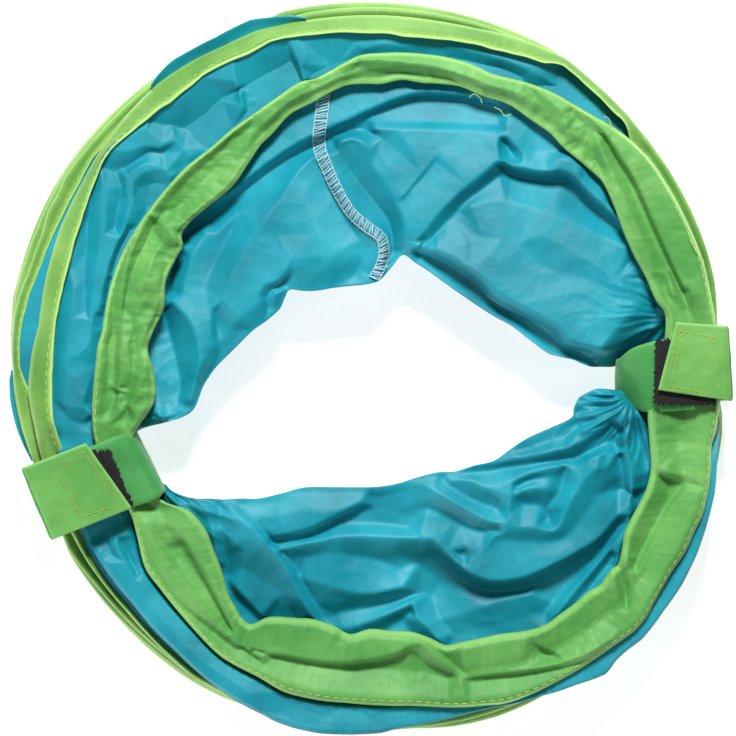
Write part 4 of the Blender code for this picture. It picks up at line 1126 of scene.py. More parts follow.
def cloth_ring(number, columns, top_rows, low_rows):
    """Both layers of one panel's cloth: from the hem or upper ring to the hole and back out."""
    knots = [(*a, *b) for a, b in UPPER + RIGHT_ZONE + LOWER + LEFT_ZONE]
    pairs = through(knots, columns, True, slice(0, 2))
    outer, inner = pairs[:, :2], pairs[:, 2:]
    whole = np.linalg.norm(inner - outer, axis=1)[:, None]
    hole = pairs[:, None, 2:]
    away = unit(outer - np.array(CENTRE))
    rim = np.array(CENTRE) + away * (CLOTH_R / PIXEL)
    if number < FRONT_PANEL:
        out = inner - np.array(CENTRE)
        size = np.linalg.norm(out, axis=1, keepdims=True)
        wander = noise(np.arange(columns) / columns * 24, np.full(columns, 2.5 + number), 70 + number, 24)
        shift = STAGGER[number] + 4 * wander
        inner = inner + out / size * np.minimum(shift[:, None], np.maximum(HOLE_REACH - size, 0))
        outer = rim
    share = 1.0 - 0.07 * (FRONT_PANEL - number)
    around = np.degrees(np.arctan2(-away[:, 1], away[:, 0]))
    strap = near_straps(around, 8.0, 17.0)[:, None]
    lower = smooth((pairs[:, 1] - 400) / 60)[:, None]
    low_z = MIDDLE_Z + (2 * number - 4.5) * LAYER
    start_top = (HOOP_Z[number] - 0.0004) if number < FRONT_PANEL else FRONT_START_Z
    start_low = HOOP_Z[number - 1] + 0.0004 if number else REAR_Z + 0.0008
    level = (low_z + LAYER + 0.0005) if number == FRONT_PANEL else low_z + LAYER

    def surface(px, py, start, base, drop):
        left = np.hypot(px - hole[..., 0], py - hole[..., 1]) / whole
        s = np.clip(1 - left, 0, 1)
        free = smooth(s / 0.14) * (1 - 0.6 * smooth((s - 0.95) / 0.05))
        z = (start + (base - start) * smooth(s / 0.3)) * (1 - FALL * strap * s)
        z = z + (1 - strap) * ((RISE + LOWER_RISE * lower) * smooth(s / 0.9) - LOWER_DROP * lower)
        z = z + share * free * sample(CLOTH_FIELD, px, py)
        return z - drop * smooth((s - 0.86) / 0.14)

    def line(s, start):
        return (start[:, None, 0] * (1 - s) + inner[:, None, 0] * s,
                start[:, None, 1] * (1 - s) + inner[:, None, 1] * s)

    least = 0.0012 + 0.0008 * number
    s = np.linspace(0, 1, top_rows)[None] ** 0.92
    px, py = line(s, outer)
    top = place(px, py, np.maximum(surface(px, py, start_top, level, TOP_DROP), least))
    s = np.linspace(1, 0, low_rows)[None]
    lx, ly = line(s, rim)
    lz = surface(lx, ly, start_low, low_z, LOW_DROP)
    lz = np.minimum(lz, surface(lx, ly, start_top, level, TOP_DROP) - LAYER_GAP)
    low = place(lx, ly, np.maximum(lz, least - LAYER_GAP))
    # a small round roll joins the two at the hole
    last, first = top[:, -1], low[:, 0]
    centre = (last + first) / 2
    inward = unit(np.concatenate([-centre[:, :2], np.zeros((columns, 1))], axis=1))
    radius = np.linalg.norm(last - first, axis=1, keepdims=True) / 2
    roll = []
    for t in (0.25, 0.5, 0.75):
        a = math.pi * t
        roll.append(centre + math.cos(a) * (last - centre) + math.sin(a) * radius * inward)
    return np.concatenate([top, np.stack(roll, axis=1), low], axis=1)


def make_cloth():
    """Folded cloth and wall of the five panels; gives back the front panel's cloth."""
    for number, (columns, top_rows, low_rows) in enumerate(CLOTH_DETAIL):
        node = f"tunnel_panel_{number + 1}"
        p = cloth_ring(number, columns, top_rows, low_rows)
        folds = sector_objects(f"{node}_fold", p, TEAL, BODIES[number])
        wall = wall_strip(number)
        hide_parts(node)
        flat_size(wall)
        for piece in folds:
            flat_size(piece)
    return p


def hem_radius(angle, side=0):
    """Outer radius of the front hem in pixels, or its inner radius where side is 1."""
    edge = through(traced(HEM, side), 2000, True) - np.array(CENTRE)
    around = np.degrees(np.arctan2(-edge[:, 1], edge[:, 0])) % 360
    order = np.argsort(around)
    return np.interp(angle % 360, around[order], np.linalg.norm(edge, axis=1)[order], period=360)


def ring_of(number, angle):
    """Inner and outer radius, in pixels, and height of ring number, 0 at the rear to 5 in front."""
    if number == 0:
        rear = np.full(len(angle), REAR_HALF[0] / PIXEL)
        return rear - 0.0115 / PIXEL, rear, REAR_Z + 0.0007
    if number > len(TAPES):
        reach = hem_radius(angle)
        return np.maximum(reach - 24, hem_radius(angle, 1) + 7), reach, FRONT_Z
    table = TAPES[number - 1]
    return softened(polar(angle, table, 2)) + 2, softened(polar(angle, table, 1)), HOOP_Z[number - 1]


def wall_strip(number):
    """Cloth between two rings, which dips between them or bulges out."""
    angle = ring_angles(720)
    low_in, low_out, low_z = ring_of(number, angle)
    high_in, high_out, high_z = ring_of(number + 1, angle)
    bulge = np.zeros(len(angle))
    if BULGES[number]:
        bulge = polar(np.clip(angle, BULGES[number][0][0], BULGES[number][-1][0]), BULGES[number])
    share = smooth(bulge / 60)
    bulge = np.maximum(bulge, 340)
    drop = high_z - low_z
    wave = ring_noise(angle, 60, 1.7 + number, 90 + number)
    dip = np.minimum(low_in, high_in) - 11 + 1.5 * wave
    if number == FRONT_PANEL:
        dip = np.maximum(dip, hem_radius(angle, 1) + 5)
    inside = (low_in - 4, dip, high_in - 4)
    outside = (np.minimum(low_out, bulge), bulge, np.minimum(high_out - 2.0, bulge))
    inside_z = (low_z + 0.25 * drop, low_z + 0.5 * drop, high_z - 0.25 * drop)
    top_z = high_z + 0.0022 if number == 3 else low_z + 0.0034
    outside_z = (low_z + 0.00195, top_z + 0.0002 * wave, high_z - 0.0002)
    r = [low_in] + [a * (1 - share) + b * share for a, b in zip(inside, outside)] + [high_in]
    z = [low_z + 0 * share] + [a * (1 - share) + b * share for a, b in zip(inside_z, outside_z)]
    z.append(high_z + 0 * share)
    rows = zip(spline_rows(r, 5), spline_rows(z, 5))
    p = np.stack([polar_place(angle, radius, height) for radius, height in rows], axis=1)
    obj = grid_object(f"tunnel_panel_{number + 1}_wall", p[::-1], TEAL, True, False)
    obj["grid"], obj["closed"] = [len(angle), p.shape[1]], True
    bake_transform(obj)
    return obj


def spline_rows(knots, per_span):
    """Smooth rows through knot rows."""
    k = [2 * knots[0] - knots[1]] + list(knots) + [2 * knots[-1] - knots[-2]]
    rows = []
    for i in range(1, len(k) - 2):
        for t in np.arange(per_span) / per_span:
            rows.append(0.5 * (2 * k[i] + (k[i + 1] - k[i - 1]) * t
                               + (2 * k[i - 1] - 5 * k[i] + 4 * k[i + 1] - k[i + 2]) * t ** 2
                               + (3 * k[i] - k[i - 1] - 3 * k[i + 1] + k[i + 2]) * t ** 3))
    return rows + [knots[-1] + 0.0]


# Height at which the skirt starts, how much lower it lies in the deep recess, and its bounds
SKIRT_Z = 0.0242
RECESS_DEPTH = 0.0044
SKIRT_LEAST_Z = 0.0216
SKIRT_MOST_Z = 0.0325
SKIRT_TUCKED_Z = 0.0268
# Columns round the skirt, and rows from the hem outwards
SKIRT_DETAIL = (1204, 46)


def make_skirt():
    """Cloth that shows between the front hem and the bands, with an under layer tucked back inwards."""
    columns, rows = SKIRT_DETAIL
    angle = ring_angles(columns)
    over = polar(angle, OVER)
    tucked = softened(polar(angle, TAPE_4, 2)) + 3.5
    open_edge = softened(polar(angle, SKIRT_EDGE))
    inner_r = hem_radius(angle) - 5
    outer_r = np.maximum(np.where(over > TUCKED_FROM, tucked, open_edge), inner_r + 3)
    width = (outer_r - inner_r)[:, None]
    s = np.linspace(0, 1, rows)[None]
    px, py = polar_pixel(angle[:, None], inner_r[:, None] + width * s)

    # 1 in the deep recess at the upper right, along the lower half, and down the left side
    recess = np.exp(-((angle - 47) / 10) ** 4)[:, None]
    low_side = smooth((angle - 192) / 14)[:, None] * smooth((352 - angle) / 8)[:, None]
    left_side = np.exp(-((angle - 172) / 26) ** 2)[:, None]
    room = (1 - 0.85 * near_straps(angle, 9.0, 12.0))[:, None]

    rise = np.minimum(0.11 * width * PIXEL, 0.0028) * (1 - 0.6 * recess) * (1 - 0.8 * low_side)
    z = SKIRT_Z - RECESS_DEPTH * recess + room * rise * smooth(s / 0.9)
    z = z + room * low_side * (0.0044 * smooth(s / 0.28) - 0.0004)
    z = z + left_side * (0.0012 * np.sin(np.pi * s) - 0.0022 * smooth((s - 0.3) / 0.7))
    free = smooth(s / 0.12) * (1 - 0.6 * smooth((s - 0.9) / 0.1))
    tall = np.clip(width / 40, 0.25, 1.0)
    z = z + room * free * tall * 1.1 * sample(SKIRT_FIELD, px, py)
    z = np.clip(z, SKIRT_LEAST_Z - 0.0024 * recess, SKIRT_MOST_Z)
    z = z - (1 - over)[:, None] * 0.0012 * smooth((s - 0.9) / 0.1) * room
    z = np.where(over[:, None] > TUCKED_FROM, np.minimum(z, SKIRT_TUCKED_Z), z)
    top = place(px, py, z)

    # the under layer stays below the top one
    back = np.linspace(0, 1, 9)[None, 1:]
    under_r = outer_r[:, None] - np.minimum(18, 0.5 * width + 13) * back + 0.8 * np.sin(np.pi * back)
    at = (np.clip((under_r - inner_r[:, None]) / width, 0, 1) * (rows - 1)).astype(int)
    above = np.take_along_axis(top[..., 2], at, 1)
    above = np.minimum(above, np.take_along_axis(top[..., 2], np.minimum(at + 1, rows - 1), 1))
    under_z = np.minimum(top[:, -1:, 2], above) - 0.0012 * smooth(back * 2.2)
    under = place(*polar_pixel(angle[:, None], under_r), under_z)
    p = np.concatenate([top, under], axis=1)
    for piece in sector_objects("tunnel_panel_5_skirt", p[::-1], TEAL, "turn_4"):
        flat_size(piece)


# Hems
# Section of the front hem from its outer edge to its inner one: (share, height as a share of the tallest)
HEM_PROFILE = (
    (0.0, 0.1), (0.02, 0.60), (0.05, 0.86), (0.10, 0.92), (0.16, 0.88), (0.50, 0.20), (0.58, 0.24),
    (0.92, 0.86), (0.97, 0.80), (1.0, 0.55),
)
TOP_PROFILE = (
    (0.0, 0.0), (0.03, 0.55), (0.08, 0.76), (0.30, 0.86), (0.56, 1.0), (0.66, 0.8), (0.85, 0.1), (1.0, -0.2),
)
LEFT_PROFILE = (
    (0.0, 0.0), (0.03, 0.60), (0.08, 0.85), (0.15, 0.85), (0.34, -0.1), (0.62, 0.95), (0.92, 0.9),
    (1.0, 0.5),
)
# Lowest and highest the front hem comes, its highest under a strap, and its under side
HEM_BASE_Z = 0.0280
HEM_LEAST_Z = 0.0272
HEM_MOST_Z = 0.0362
HEM_STRAP_Z = 0.0318
HEM_UNDER_Z = 0.0262
# How far the front hem's inner edge rolls inwards
HEM_ROLL = 0.0012


def make_front_hem():
    """Gathered band round the small front hoop, pinched flat under both straps."""
    columns, top_rows, low_rows = 1300, 46, 10
    pairs = through([(*a, *b) for a, b in HEM], columns, True, slice(0, 2))
    outer, inner = pairs[:, :2], pairs[:, 2:]
    width = np.linalg.norm(inner - outer, axis=1) * PIXEL
    t = np.arange(columns) / columns
    turn = np.degrees(np.arctan2(CENTRE[1] - outer[:, 1], outer[:, 0] - CENTRE[0])) % 360
    strap = near_straps(turn, 8.0, 12.0)[:, None]
    s = np.linspace(0, 1, top_rows)[None]
    px = outer[:, None, 0] * (1 - s) + inner[:, None, 0] * s
    py = outer[:, None, 1] * (1 - s) + inner[:, None, 1] * s
    profile, upper, west = [np.interp(s, *zip(*table)) for table in (HEM_PROFILE, TOP_PROFILE, LEFT_PROFILE)]
    at_top = np.clip(1.25 - np.abs((turn - 82) / 46) ** 3, 0, 1)[:, None]
    at_left = np.clip(1.25 - np.abs((turn - 166) / 22) ** 3, 0, 1)[:, None]
    profile = profile * (1 - at_top) * (1 - at_left) + upper * at_top + west * at_left * (1 - at_top)
    tall = np.minimum(0.0012 + 0.13 * width, 0.0042)[:, None]
    z = HEM_BASE_Z + tall * profile

    # gathers, livelier on the left side and at the upper right
    gather = ridged(t[:, None] * 150 + 0 * s, 1.5 * s + 3, 101, 2, 150)
    broad = noise(t[:, None] * 64 + 0 * s, 2.2 * s + 9, 103, 64)
    mottle = noise(px / 9, py / 9, 104)
    loose = (1 - 0.9 * strap) * (0.25 + 0.75 * smooth(s / 0.35))
    left_side = smooth((300 - px) / 120) * smooth((480 - py) / 60)
    busy = 0.25 + 0.3 * left_side + 0.9 * np.exp(-((px - 572) / 30) ** 2 - ((py - 142) / 26) ** 2)
    z = z + loose * busy * (0.00050 * gather + 0.0006 * broad + 0.0006 * mottle)
    z = z + (1 - 0.85 * strap) * smooth(s / 0.06) * sample(HEM_FIELD, px, py)
    z = z - 0.0004 * np.exp(-((s - 0.035) / 0.02) ** 2)
    z = np.minimum(z, HEM_MOST_Z * (1 - strap) + HEM_STRAP_Z * strap)
    top = place(px, py, np.maximum(z, HEM_LEAST_Z))

    # under side, and the roll at the inner edge that joins them
    low_s = np.linspace(1, 0, low_rows)[None]
    lx = outer[:, None, 0] * (1 - low_s) + inner[:, None, 0] * low_s
    ly = outer[:, None, 1] * (1 - low_s) + inner[:, None, 1] * low_s
    low = place(lx, ly, HEM_UNDER_Z + 0.0006 * (1 - np.sin(np.pi * low_s)) + 0 * lx)
    last, first = top[:, -1], low[:, 0]
    middle = (last + first) / 2
    away = unit(place(*inner.T, last[:, 2]) - place(*outer.T, last[:, 2]))
    rolls = []
    for k in (0.2, 0.4, 0.6, 0.8):
        a = math.pi * k
        rolls.append(middle + math.cos(a) * (last - middle) + math.sin(a) * HEM_ROLL * away)
    p = np.concatenate([top, np.stack(rolls, 1), low], axis=1)

    # edge colour: the outer rim is the hem's own stitched edge; the lighter inner lip and roll are painted
    # highlight
    mark = np.zeros(p.shape[:2])
    rim = np.exp(-((s * width[:, None] - 0.0004) / 0.0007) ** 2) * 0.9
    lip = np.exp(-(((1 - s) * width[:, None]) / 0.0011) ** 2) * 0.45
    mark[:, :top_rows] = rim + lip
    mark[:, top_rows:top_rows + len(rolls)] = 0.3
    obj = grid_object("front_hem_gathered", p, HEM_GREEN, True, True, mark)
    fasten(obj, "front_mouth", "front_hem")
    stitches("front_hem_edge_stitch", top[:, 3], "front_mouth")
    line = top[:, int(0.13 * top_rows)].copy()
    line[:, 2] = FRONT_Z + 0.0006
    make_wire("front_hoop", line[::2], "front_mouth")


# Section of the rear hem round its wire: (out from the wire, up from the floor, edge share)
REAR_SECTION = (
    (-0.0124, 0.0052, 1.0), (-0.0118, 0.0058, 0.8), (-0.0090, 0.0059, 0.1), (-0.0060, 0.0057, 0.0),
    (-0.0035, 0.0060, 0.0), (-0.0012, 0.0063, 0.1), (0.0006, 0.0062, 0.3), (0.0018, 0.0052, 0.7),
    (0.0023, 0.0038, 0.8), (0.0019, 0.0020, 0.6), (0.0006, 0.0008, 0.2), (-0.0012, 0.0002, 0.0),
    (-0.0040, 0.0004, 0.0), (-0.0070, 0.0002, 0.1), (-0.0105, 0.0005, 0.5), (-0.0122, 0.0012, 0.9),
    (-0.0126, 0.0030, 1.0),
)
# How high a strap lifts the rear hem that it runs under
STRAP_LIFT = 0.0019
# Highest point of the rear hem
REAR_HEM_TOP = 0.0064


def make_rear_hem():
    """Gathered band round the rear hoop, on the floor and on the straps where they pass under it."""
    angle = ring_angles(720)
    floor = STRAP_LIFT * near_straps(angle, 8.6, 10.2)
    wave = ridged(angle / 360 * 90, np.full(len(angle), 2.2), 120, 2, 90)
    rows, marks = [], []
    for out, up, mark in REAR_SECTION:
        inward = smooth((-out - 0.002) / 0.008)
        x, y = ring_line(REAR_HALF, angle, 0.0, out + inward * 0.0007 * wave)[:, :2].T
        z = np.maximum(up + inward * 0.0003 * wave, floor + 0.0002 * (up > 0.001))
        z = np.minimum(np.maximum(z, floor), REAR_HEM_TOP)
        rows.append(np.stack([x, y, z], 1))
        marks.append(np.full(len(angle), mark * 0.8))
    obj = grid_object("rear_hem_gathered", np.stack(rows, 1), HEM_GREEN, True, True, np.stack(marks, 1))
    fasten(obj, "rear_mouth", "rear_hem")
    stitches("rear_hem_stitch", ring_line(REAR_HALF, angle, 0.0061, -0.0088), "rear_mouth")


# Straps
FLAP_Z = 0.0368
LOOP_Z = 0.0346
# Corners in pixels: outer start, inner start, inner end, outer end
FLAPS = {
    "left": ((22, 468), (86, 443), (132, 508), (52, 540)),
    "right": ((728, 326), (676, 322), (658, 390), (732, 401)),
}
LOOPS = {
    "left": ((60, 462), (109, 448), (134, 507), (84, 526)),
    "right": ((712, 334), (656, 341), (653, 404), (716, 405)),
}
# Edges of the tail, from under the flap to where it turns down, in pixels
TAILS = {
    "left": (((78, 452), (100, 520)), ((110, 438.5), (131, 508)), ((125, 433), (157, 499)),
             ((131, 431), (163, 494))),
    "right": (((696, 334), (696, 410)), ((655, 341), (652, 412)), ((631, 349), (629, 409)),
              ((620, 358), (618, 404))),
}
# Height of the tail's two edges at those places
TAIL_HEIGHTS = {
    "left": ((0.0334, 0.0334), (0.0322, 0.0336), (0.0296, 0.0330), (0.0262, 0.0296)),
    "right": ((0.0334, 0.0334), (0.0334, 0.0300), (0.0306, 0.0204), (0.0250, 0.0160)),
}
FLAP_STITCHES = {
    "left": (((57.4, 472.8), (82.6, 451), (121.7, 503.8), (80.4, 517.6), (57.4, 472.8)),),
    "right": (((679, 331), (674, 352), (666, 384)), ((683, 332), (679, 352), (671, 385)),
              ((668, 386), (700, 392), (716, 394)), ((678, 331), (704, 336), (716, 338)),
              ((712, 338), (716, 362), (719, 392))),
}
WEBBING_THICK = 0.0012
BOX_THREAD_R = 0.00017
UNDER_Z = 0.5 * WEBBING_THICK + 0.0004


def strap_stations(side):
    """Upper and lower edge of the webbing along its way: over the bundle, down, under it and up again."""
    pairs = [(place(*a, za), place(*b, zb)) for (a, b), (za, zb) in zip(TAILS[side], TAIL_HEIGHTS[side])]
    inner = pairs[-1]
    inward = -np.array([*(inner[0] + inner[1])[:2], 0.0])
    inward /= np.linalg.norm(inward)
    for z, shift in ((0.014, 0.0006), (0.008, 0.0003), (0.004, 0.0), (UNDER_Z, -0.0010)):
        pairs.append(tuple(np.array([p[0], p[1], z]) + shift * inward for p in inner))
    outer = [place(*corner, FLAP_Z) + 0.0001 * inward for corner in (FLAPS[side][0], FLAPS[side][3])]
    for t in (0.35, 0.7, 0.96):
        pairs.append(tuple((1 - t) * np.array([a[0], a[1], UNDER_Z]) + t * np.array([b[0], b[1], UNDER_Z])
                           for a, b in zip(inner, outer)))
    for z in (0.004, 0.012, 0.022, 0.031, 0.0363):
        pairs.append(tuple(np.array([p[0], p[1], z]) for p in outer))
    return np.array(pairs)


def make_strap(side):
    """Webbing strap round the bundle, a closed band with both ends shut."""
    stations = strap_stations(side)
    count, across = 190, 21
    edges = through(stations.reshape(len(stations), 6), count).reshape(-1, 2, 3)
    seed = 200 + ord(side[0])
    u = np.linspace(0, 1, across)[None]
    middle = edges[:, :1] * (1 - u[..., None]) + edges[:, 1:] * u[..., None]
    run = np.gradient(middle, axis=0)
    normal = np.cross(run, np.broadcast_to(edges[:, 1:] - edges[:, :1], run.shape))
    normal /= np.maximum(np.linalg.norm(normal, axis=2, keepdims=True), 1e-12)
    if normal[0, across // 2, 2] < 0:
        normal = -normal
    length = np.arange(count)[:, None] / 9.0
    ripple = 0.00022 * noise(length + 0 * u, u * 3 + 5, seed)
    cup = 0.0003 * noise(length / 3 + 0 * u, u * 1.2 + 9, seed + 1)
    thin = 0.5 * WEBBING_THICK * (1 - 0.7 * np.clip((np.abs(2 * u - 1) - 0.93) / 0.07, 0, 1) ** 2)
    wave = np.clip(middle[..., 2] / 0.003, 0, 1) * (ripple + cup)
    top = middle + normal * (thin + wave)[..., None]
    low = middle - normal * (thin - wave)[..., None]
    p = np.concatenate([top, low[:, ::-1]], axis=1)
    rows = p.shape[1]
    mark = np.zeros(p.shape[:2])
    mark[:, [0, across - 1, across, rows - 1]] = 0.8
    ends = []
    for first in (0, (count - 1) * rows):
        for k in range(across - 1):
            quad = [first + k, first + k + 1, first + rows - 2 - k, first + rows - 1 - k]
            ends.append(quad if first == 0 else quad[::-1])
    faces = np.vstack([grid_faces(count, rows, False, True), np.array(ends)])
    uv = surface_uv(p).reshape(-1, 2)
    # the strap wears the darker webbing colours, which are painted shade
    obj = mesh_object(f"{side}_strap_webbing", p.reshape(-1, 3), faces, SHADED_STRAP_WEBBING, uv, mark.ravel())
    fasten(obj, "rear_mouth", f"{side}_strap")


def quad_plate(name, corners, z, thick, material, seed, curl=0.0, ragged=0.0, n=56):
    """Soft plate between four corners in pixels, closed all round."""
    c = np.array(corners, float)
    u = np.linspace(0, 1, n)[:, None]
    v = np.linspace(0, 1, n)[None]
    grid = (c[0] * ((1 - u) * (1 - v))[..., None] + c[1] * (u * (1 - v))[..., None]
            + c[2] * (u * v)[..., None] + c[3] * ((1 - u) * v)[..., None])
    if ragged:
        rough = noise(grid[..., 0] / 2.2, grid[..., 1] / 2.2, seed)
        middle = grid.mean((0, 1))
        border = np.maximum(np.abs(2 * u - 1), np.abs(2 * v - 1)) ** 6
        grid = grid + (grid - middle) / 30 * (ragged * rough * border)[..., None]
    soft = 0.00018 * noise(grid[..., 0] / 14, grid[..., 1] / 14, seed + 1)
    edge = np.minimum(np.minimum(u, 1 - u) * (n - 1), np.minimum(v, 1 - v) * (n - 1))
    body = thick / 2 * np.where(edge < 0.5, 0.35, np.where(edge < 1.5, 0.85, 1.0))
    base = z + soft - curl * np.clip(1 - u / 0.07, 0, 1) ** 2 + 0 * v
    top = place(grid[..., 0], grid[..., 1], base + body)
    low = place(grid[..., 0], grid[..., 1], base - body)
    faces = grid_faces(n, n, False, False)
    count = n * n
    spots = np.arange(count).reshape(n, n)
    rim = np.concatenate([spots[:, 0], spots[-1, 1:], spots[-2::-1, -1], spots[0, -2:0:-1]])
    after = np.roll(rim, -1)
    sides = np.stack([rim, rim + count, after + count, after], 1)
    points = np.vstack([top.reshape(-1, 3), low.reshape(-1, 3)])
    mark = np.clip(1.2 - edge / 2.0, 0, 1).ravel() * 0.6
    return mesh_object(name, points, np.vstack([faces, faces[:, ::-1] + count, sides]), material,
                       points[:, :2], np.concatenate([mark, mark]))


def make_flap(side):
    """The strap's outer end with its box stitch and hook patch, and the loop patch it closes on."""
    body = f"{side}_flap_end"
    flap = quad_plate(f"{side}_flap_webbing", FLAPS[side], FLAP_Z, 0.0013, WEBBING, 300, curl=0.0009)
    fasten(flap, body, f"{side}_flap")
    c = np.array(FLAPS[side], float)
    middle = c.mean(0)
    hook = quad_plate(f"{side}_hook_pad", middle + (c - middle) * 0.84, FLAP_Z - 0.00125, 0.0010, FUZZ, 310,
                      ragged=2.0)
    fasten(hook, body, f"{side}_hook_patch")
    lift = BOX_THREAD_R * np.array((-1, 0.5, 0.5, -1))
    parts = []
    for path in FLAP_STITCHES[side]:
        p = np.array(path, float)
        line = place(p[:, 0], p[:, 1], np.full(len(p), FLAP_Z + 0.00075))
        parts += stitch_tubes(line, 0.0003, 0.0015, 0.0009, BOX_THREAD_R, lift, 5)
    thread = joined(f"{side}_flap_box_stitch", parts, OCHRE)
    fasten(thread, body, f"{side}_flap_stitch")
    loop = quad_plate(f"{side}_loop_pad", LOOPS[side], LOOP_Z, 0.0011, FUZZ, 320, ragged=4.0)
    fasten(loop, "rear_mouth", f"{side}_loop_patch")


# Overlocked seam, traced from the hem to the hole
SEAM = ((324, 88), (322, 112), (319, 137), (320, 150), (327, 168), (336, 188), (352, 214), (368, 228),
        (381, 238), (384, 252), (380, 268), (374, 279))
SEAM_STEPS = 260
# Pixels between two slanting threads, and the radii of the threads in metres
THREAD_PITCH = 3.1
EDGE_THREAD_R = 0.00018
CROSS_THREAD_R = 0.00016
LOOSE_THREAD_R = 0.00015


def make_seam(cloth):
    """White overlock thread and the raised seam allowance under it, laid on the front panel's cloth."""
    centre = through(SEAM, SEAM_STEPS)
    tangent = unit(np.gradient(centre, axis=0))
    side = np.stack([-tangent[:, 1], tangent[:, 0]], 1)
    width = np.interp(np.linspace(0, 1, SEAM_STEPS), (0, 0.25, 0.55, 1.0), (12.5, 12.0, 10.0, 10.0))
    tree = BVHTree.FromPolygons(cloth.reshape(-1, 3).tolist(),
                                grid_faces(*cloth.shape[:2], True, False).tolist())

    def on_cloth(px, py, lift):
        spots = place(px, py, 0.022 + 0 * px)
        for n in np.ndindex(spots.shape[:-1]):
            hit = tree.ray_cast((spots[n][0], spots[n][1], 0.05), (0.0, 0.0, -1.0))[0]
            spots[n][2] = (hit.z if hit else 0.0205) + np.broadcast_to(lift, px.shape)[n]
        return spots

    parts = []
    run = run_length(centre)
    rows = int(run[-1] / THREAD_PITCH)
    rng = np.random.default_rng(9)
    # a thread along each edge
    for edge in (-1, 1):
        at = centre + side * (edge * width / 2)[:, None]
        at = at + side * (0.5 * noise(run / 3.0, np.full(SEAM_STEPS, 1.0 + edge), 7))[:, None]
        parts.append(tube(on_cloth(at[:, 0], at[:, 1], 0.0007), EDGE_THREAD_R, 5))
    # slanting threads across, with a second one in every other row
    u = np.linspace(0, 1, 7)[:, None]
    for n in range(rows):
        where = (n + 0.5) / rows * run[-1]
        lean = 1.9 + rng.normal() * 0.5
        reach = along(side, run, where) * (np.interp(where, run, width) / 2)
        spans = ((-lean, lean), (lean * 0.2, lean * 1.6))
        for before, after in spans[:1] if n % 2 else spans:
            a = along(centre, run, where + before)
            b = along(centre, run, where + after)
            q = (a - reach) * (1 - u) + (b + reach) * u
            lift = 0.0008 + 0.0003 * np.sin(np.pi * u[:, 0])
            parts.append(tube(on_cloth(q[:, 0], q[:, 1], lift), CROSS_THREAD_R, 4))
    obj = joined("overlock_seam_thread", parts, WHITE)
    settle(obj, "turn_4")
    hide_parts("overlock_seam")
    # raised seam allowance beneath the thread
    u = np.linspace(-1, 1, 9)[None, :, None]
    q = centre[:, None] + side[:, None] * (u * (width / 2 + 0.6)[:, None, None])
    lift = 0.0006 * (1 - 0.9 * np.abs(u[..., 0]) ** 3)
    p = on_cloth(q[..., 0], q[..., 1], lift + 0 * q[..., 0])
    strip = grid_object("overlock_seam_allowance", p, TEAL, False, False)
    settle(strip, "turn_4")


# Loose thread ends on the front hem: points in pixels, and height
THREAD_ENDS = (
    (((689, 233), (690, 240), (696, 250), (703, 260), (705, 272)), 0.0335),
    (((469, 98), (474, 94), (480, 98), (482, 103)), 0.0300),
    (((494, 107), (500, 110), (505, 116), (511, 114)), 0.0300),
    (((604, 116), (609, 119), (611, 127)), 0.0312),
)


def make_ends():
    """The four loose ends as one piece."""
    parts = []
    for path, z in THREAD_ENDS:
        p = through(path, 24)
        parts.append(tube(place(p[:, 0], p[:, 1], np.full(24, z)), LOOSE_THREAD_R, 5))
    fasten(joined("front_hem_thread_ends", parts, YELLOW), "front_mouth")


# Build
make_rings()
make_front_hem()
make_rear_hem()
front_cloth = make_cloth()
make_skirt()
for which in ("left", "right"):
    make_strap(which)
    make_flap(which)
make_seam(front_cloth)
make_ends()

# Camera, light and floor
# Lamps: (name, place, size, power); each looks at the part
LAMPS = (
    ("key", (0.02, 1.25, 1.34), 0.40, 48.0),
    ("side", (1.2, 0.1, 1.5), 0.8, 2.0),
    ("fill", (-1.1, -0.8, 1.1), 0.8, 5.6),
    ("rim", (-0.85, -1.25, 0.2), 0.30, 11.0),
)
FLOOR_HALF = 3.0


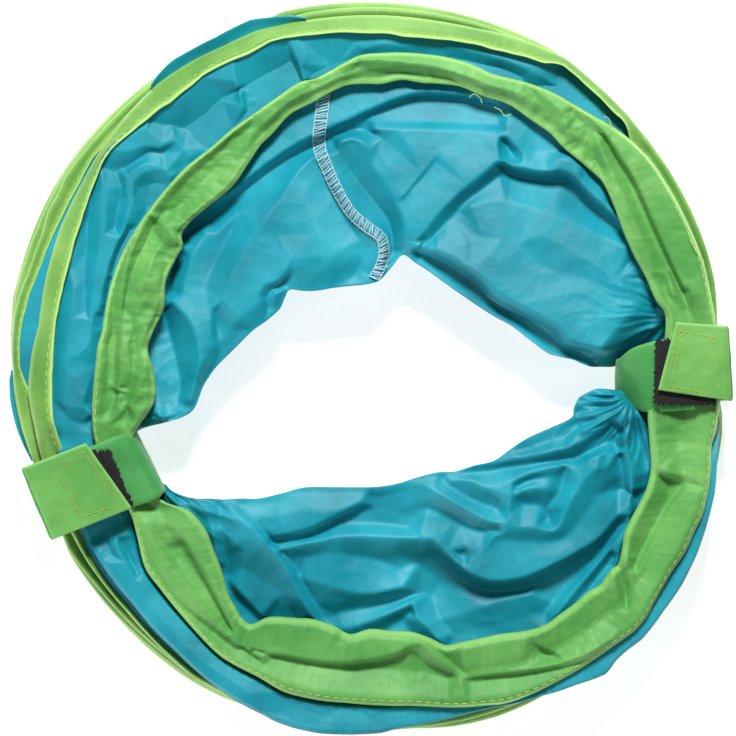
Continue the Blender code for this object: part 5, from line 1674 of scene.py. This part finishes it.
def make_camera():
    camera = bpy.data.objects.new("camera", bpy.data.cameras.new("camera"))
    bpy.context.scene.collection.objects.link(camera)
    camera.location = ((IMAGE / 2 - CENTRE[0]) * PIXEL, (CENTRE[1] - IMAGE / 2) * PIXEL, CAMERA_Z)
    camera.data.lens = SENSOR * (CAMERA_Z - LEVEL) / (IMAGE * PIXEL)
    camera.data.clip_start = 0.1
    camera.data.clip_end = 50.0
    bpy.context.scene.camera = camera


def make_lamps():
    for name, spot, size, power in LAMPS:
        data = bpy.data.lights.new(name, "AREA")
        data.shape = "SQUARE"
        data.size = size
        data.energy = power
        lamp = bpy.data.objects.new(name, data)
        bpy.context.scene.collection.objects.link(lamp)
        lamp.location = spot
        yaw = math.atan2(spot[1], spot[0])
        tilt = math.atan2(math.hypot(spot[0], spot[1]), spot[2])
        lamp.rotation_euler = (0.0, tilt, yaw)


def make_world():
    """A dim, slightly cool sky that the camera sees as white."""
    world = bpy.data.worlds.new("studio")
    bpy.context.scene.world = world
    world.use_nodes = True
    tree = world.node_tree
    back = tree.nodes["Background"]
    back.inputs["Color"].default_value = (0.93, 0.97, 1.0, 1.0)
    back.inputs["Strength"].default_value = 0.10
    white = tree.nodes.new("ShaderNodeBackground")
    white.inputs["Color"].default_value = (1.0, 1.0, 1.0, 1.0)
    white.inputs["Strength"].default_value = 1.0
    path = tree.nodes.new("ShaderNodeLightPath")
    either = tree.nodes.new("ShaderNodeMath")
    either.operation = "MAXIMUM"
    tree.links.new(path.outputs["Is Camera Ray"], either.inputs[0])
    tree.links.new(path.outputs["Is Transmission Ray"], either.inputs[1])
    mix = tree.nodes.new("ShaderNodeMixShader")
    tree.links.new(either.outputs[0], mix.inputs[0])
    tree.links.new(back.outputs[0], mix.inputs[1])
    tree.links.new(white.outputs[0], mix.inputs[2])
    tree.links.new(mix.outputs[0], tree.nodes["World Output"].inputs["Surface"])


def make_floor():
    corners = np.array([[-1, -1, 0], [1, -1, 0], [1, 1, 0], [-1, 1, 0]]) * FLOOR_HALF
    mesh_object("floor", corners, np.array([[0, 1, 2, 3]]), floor_material())


make_camera()
make_lamps()
make_world()
make_floor()
bpy.context.scene.view_settings.view_transform = "Standard"
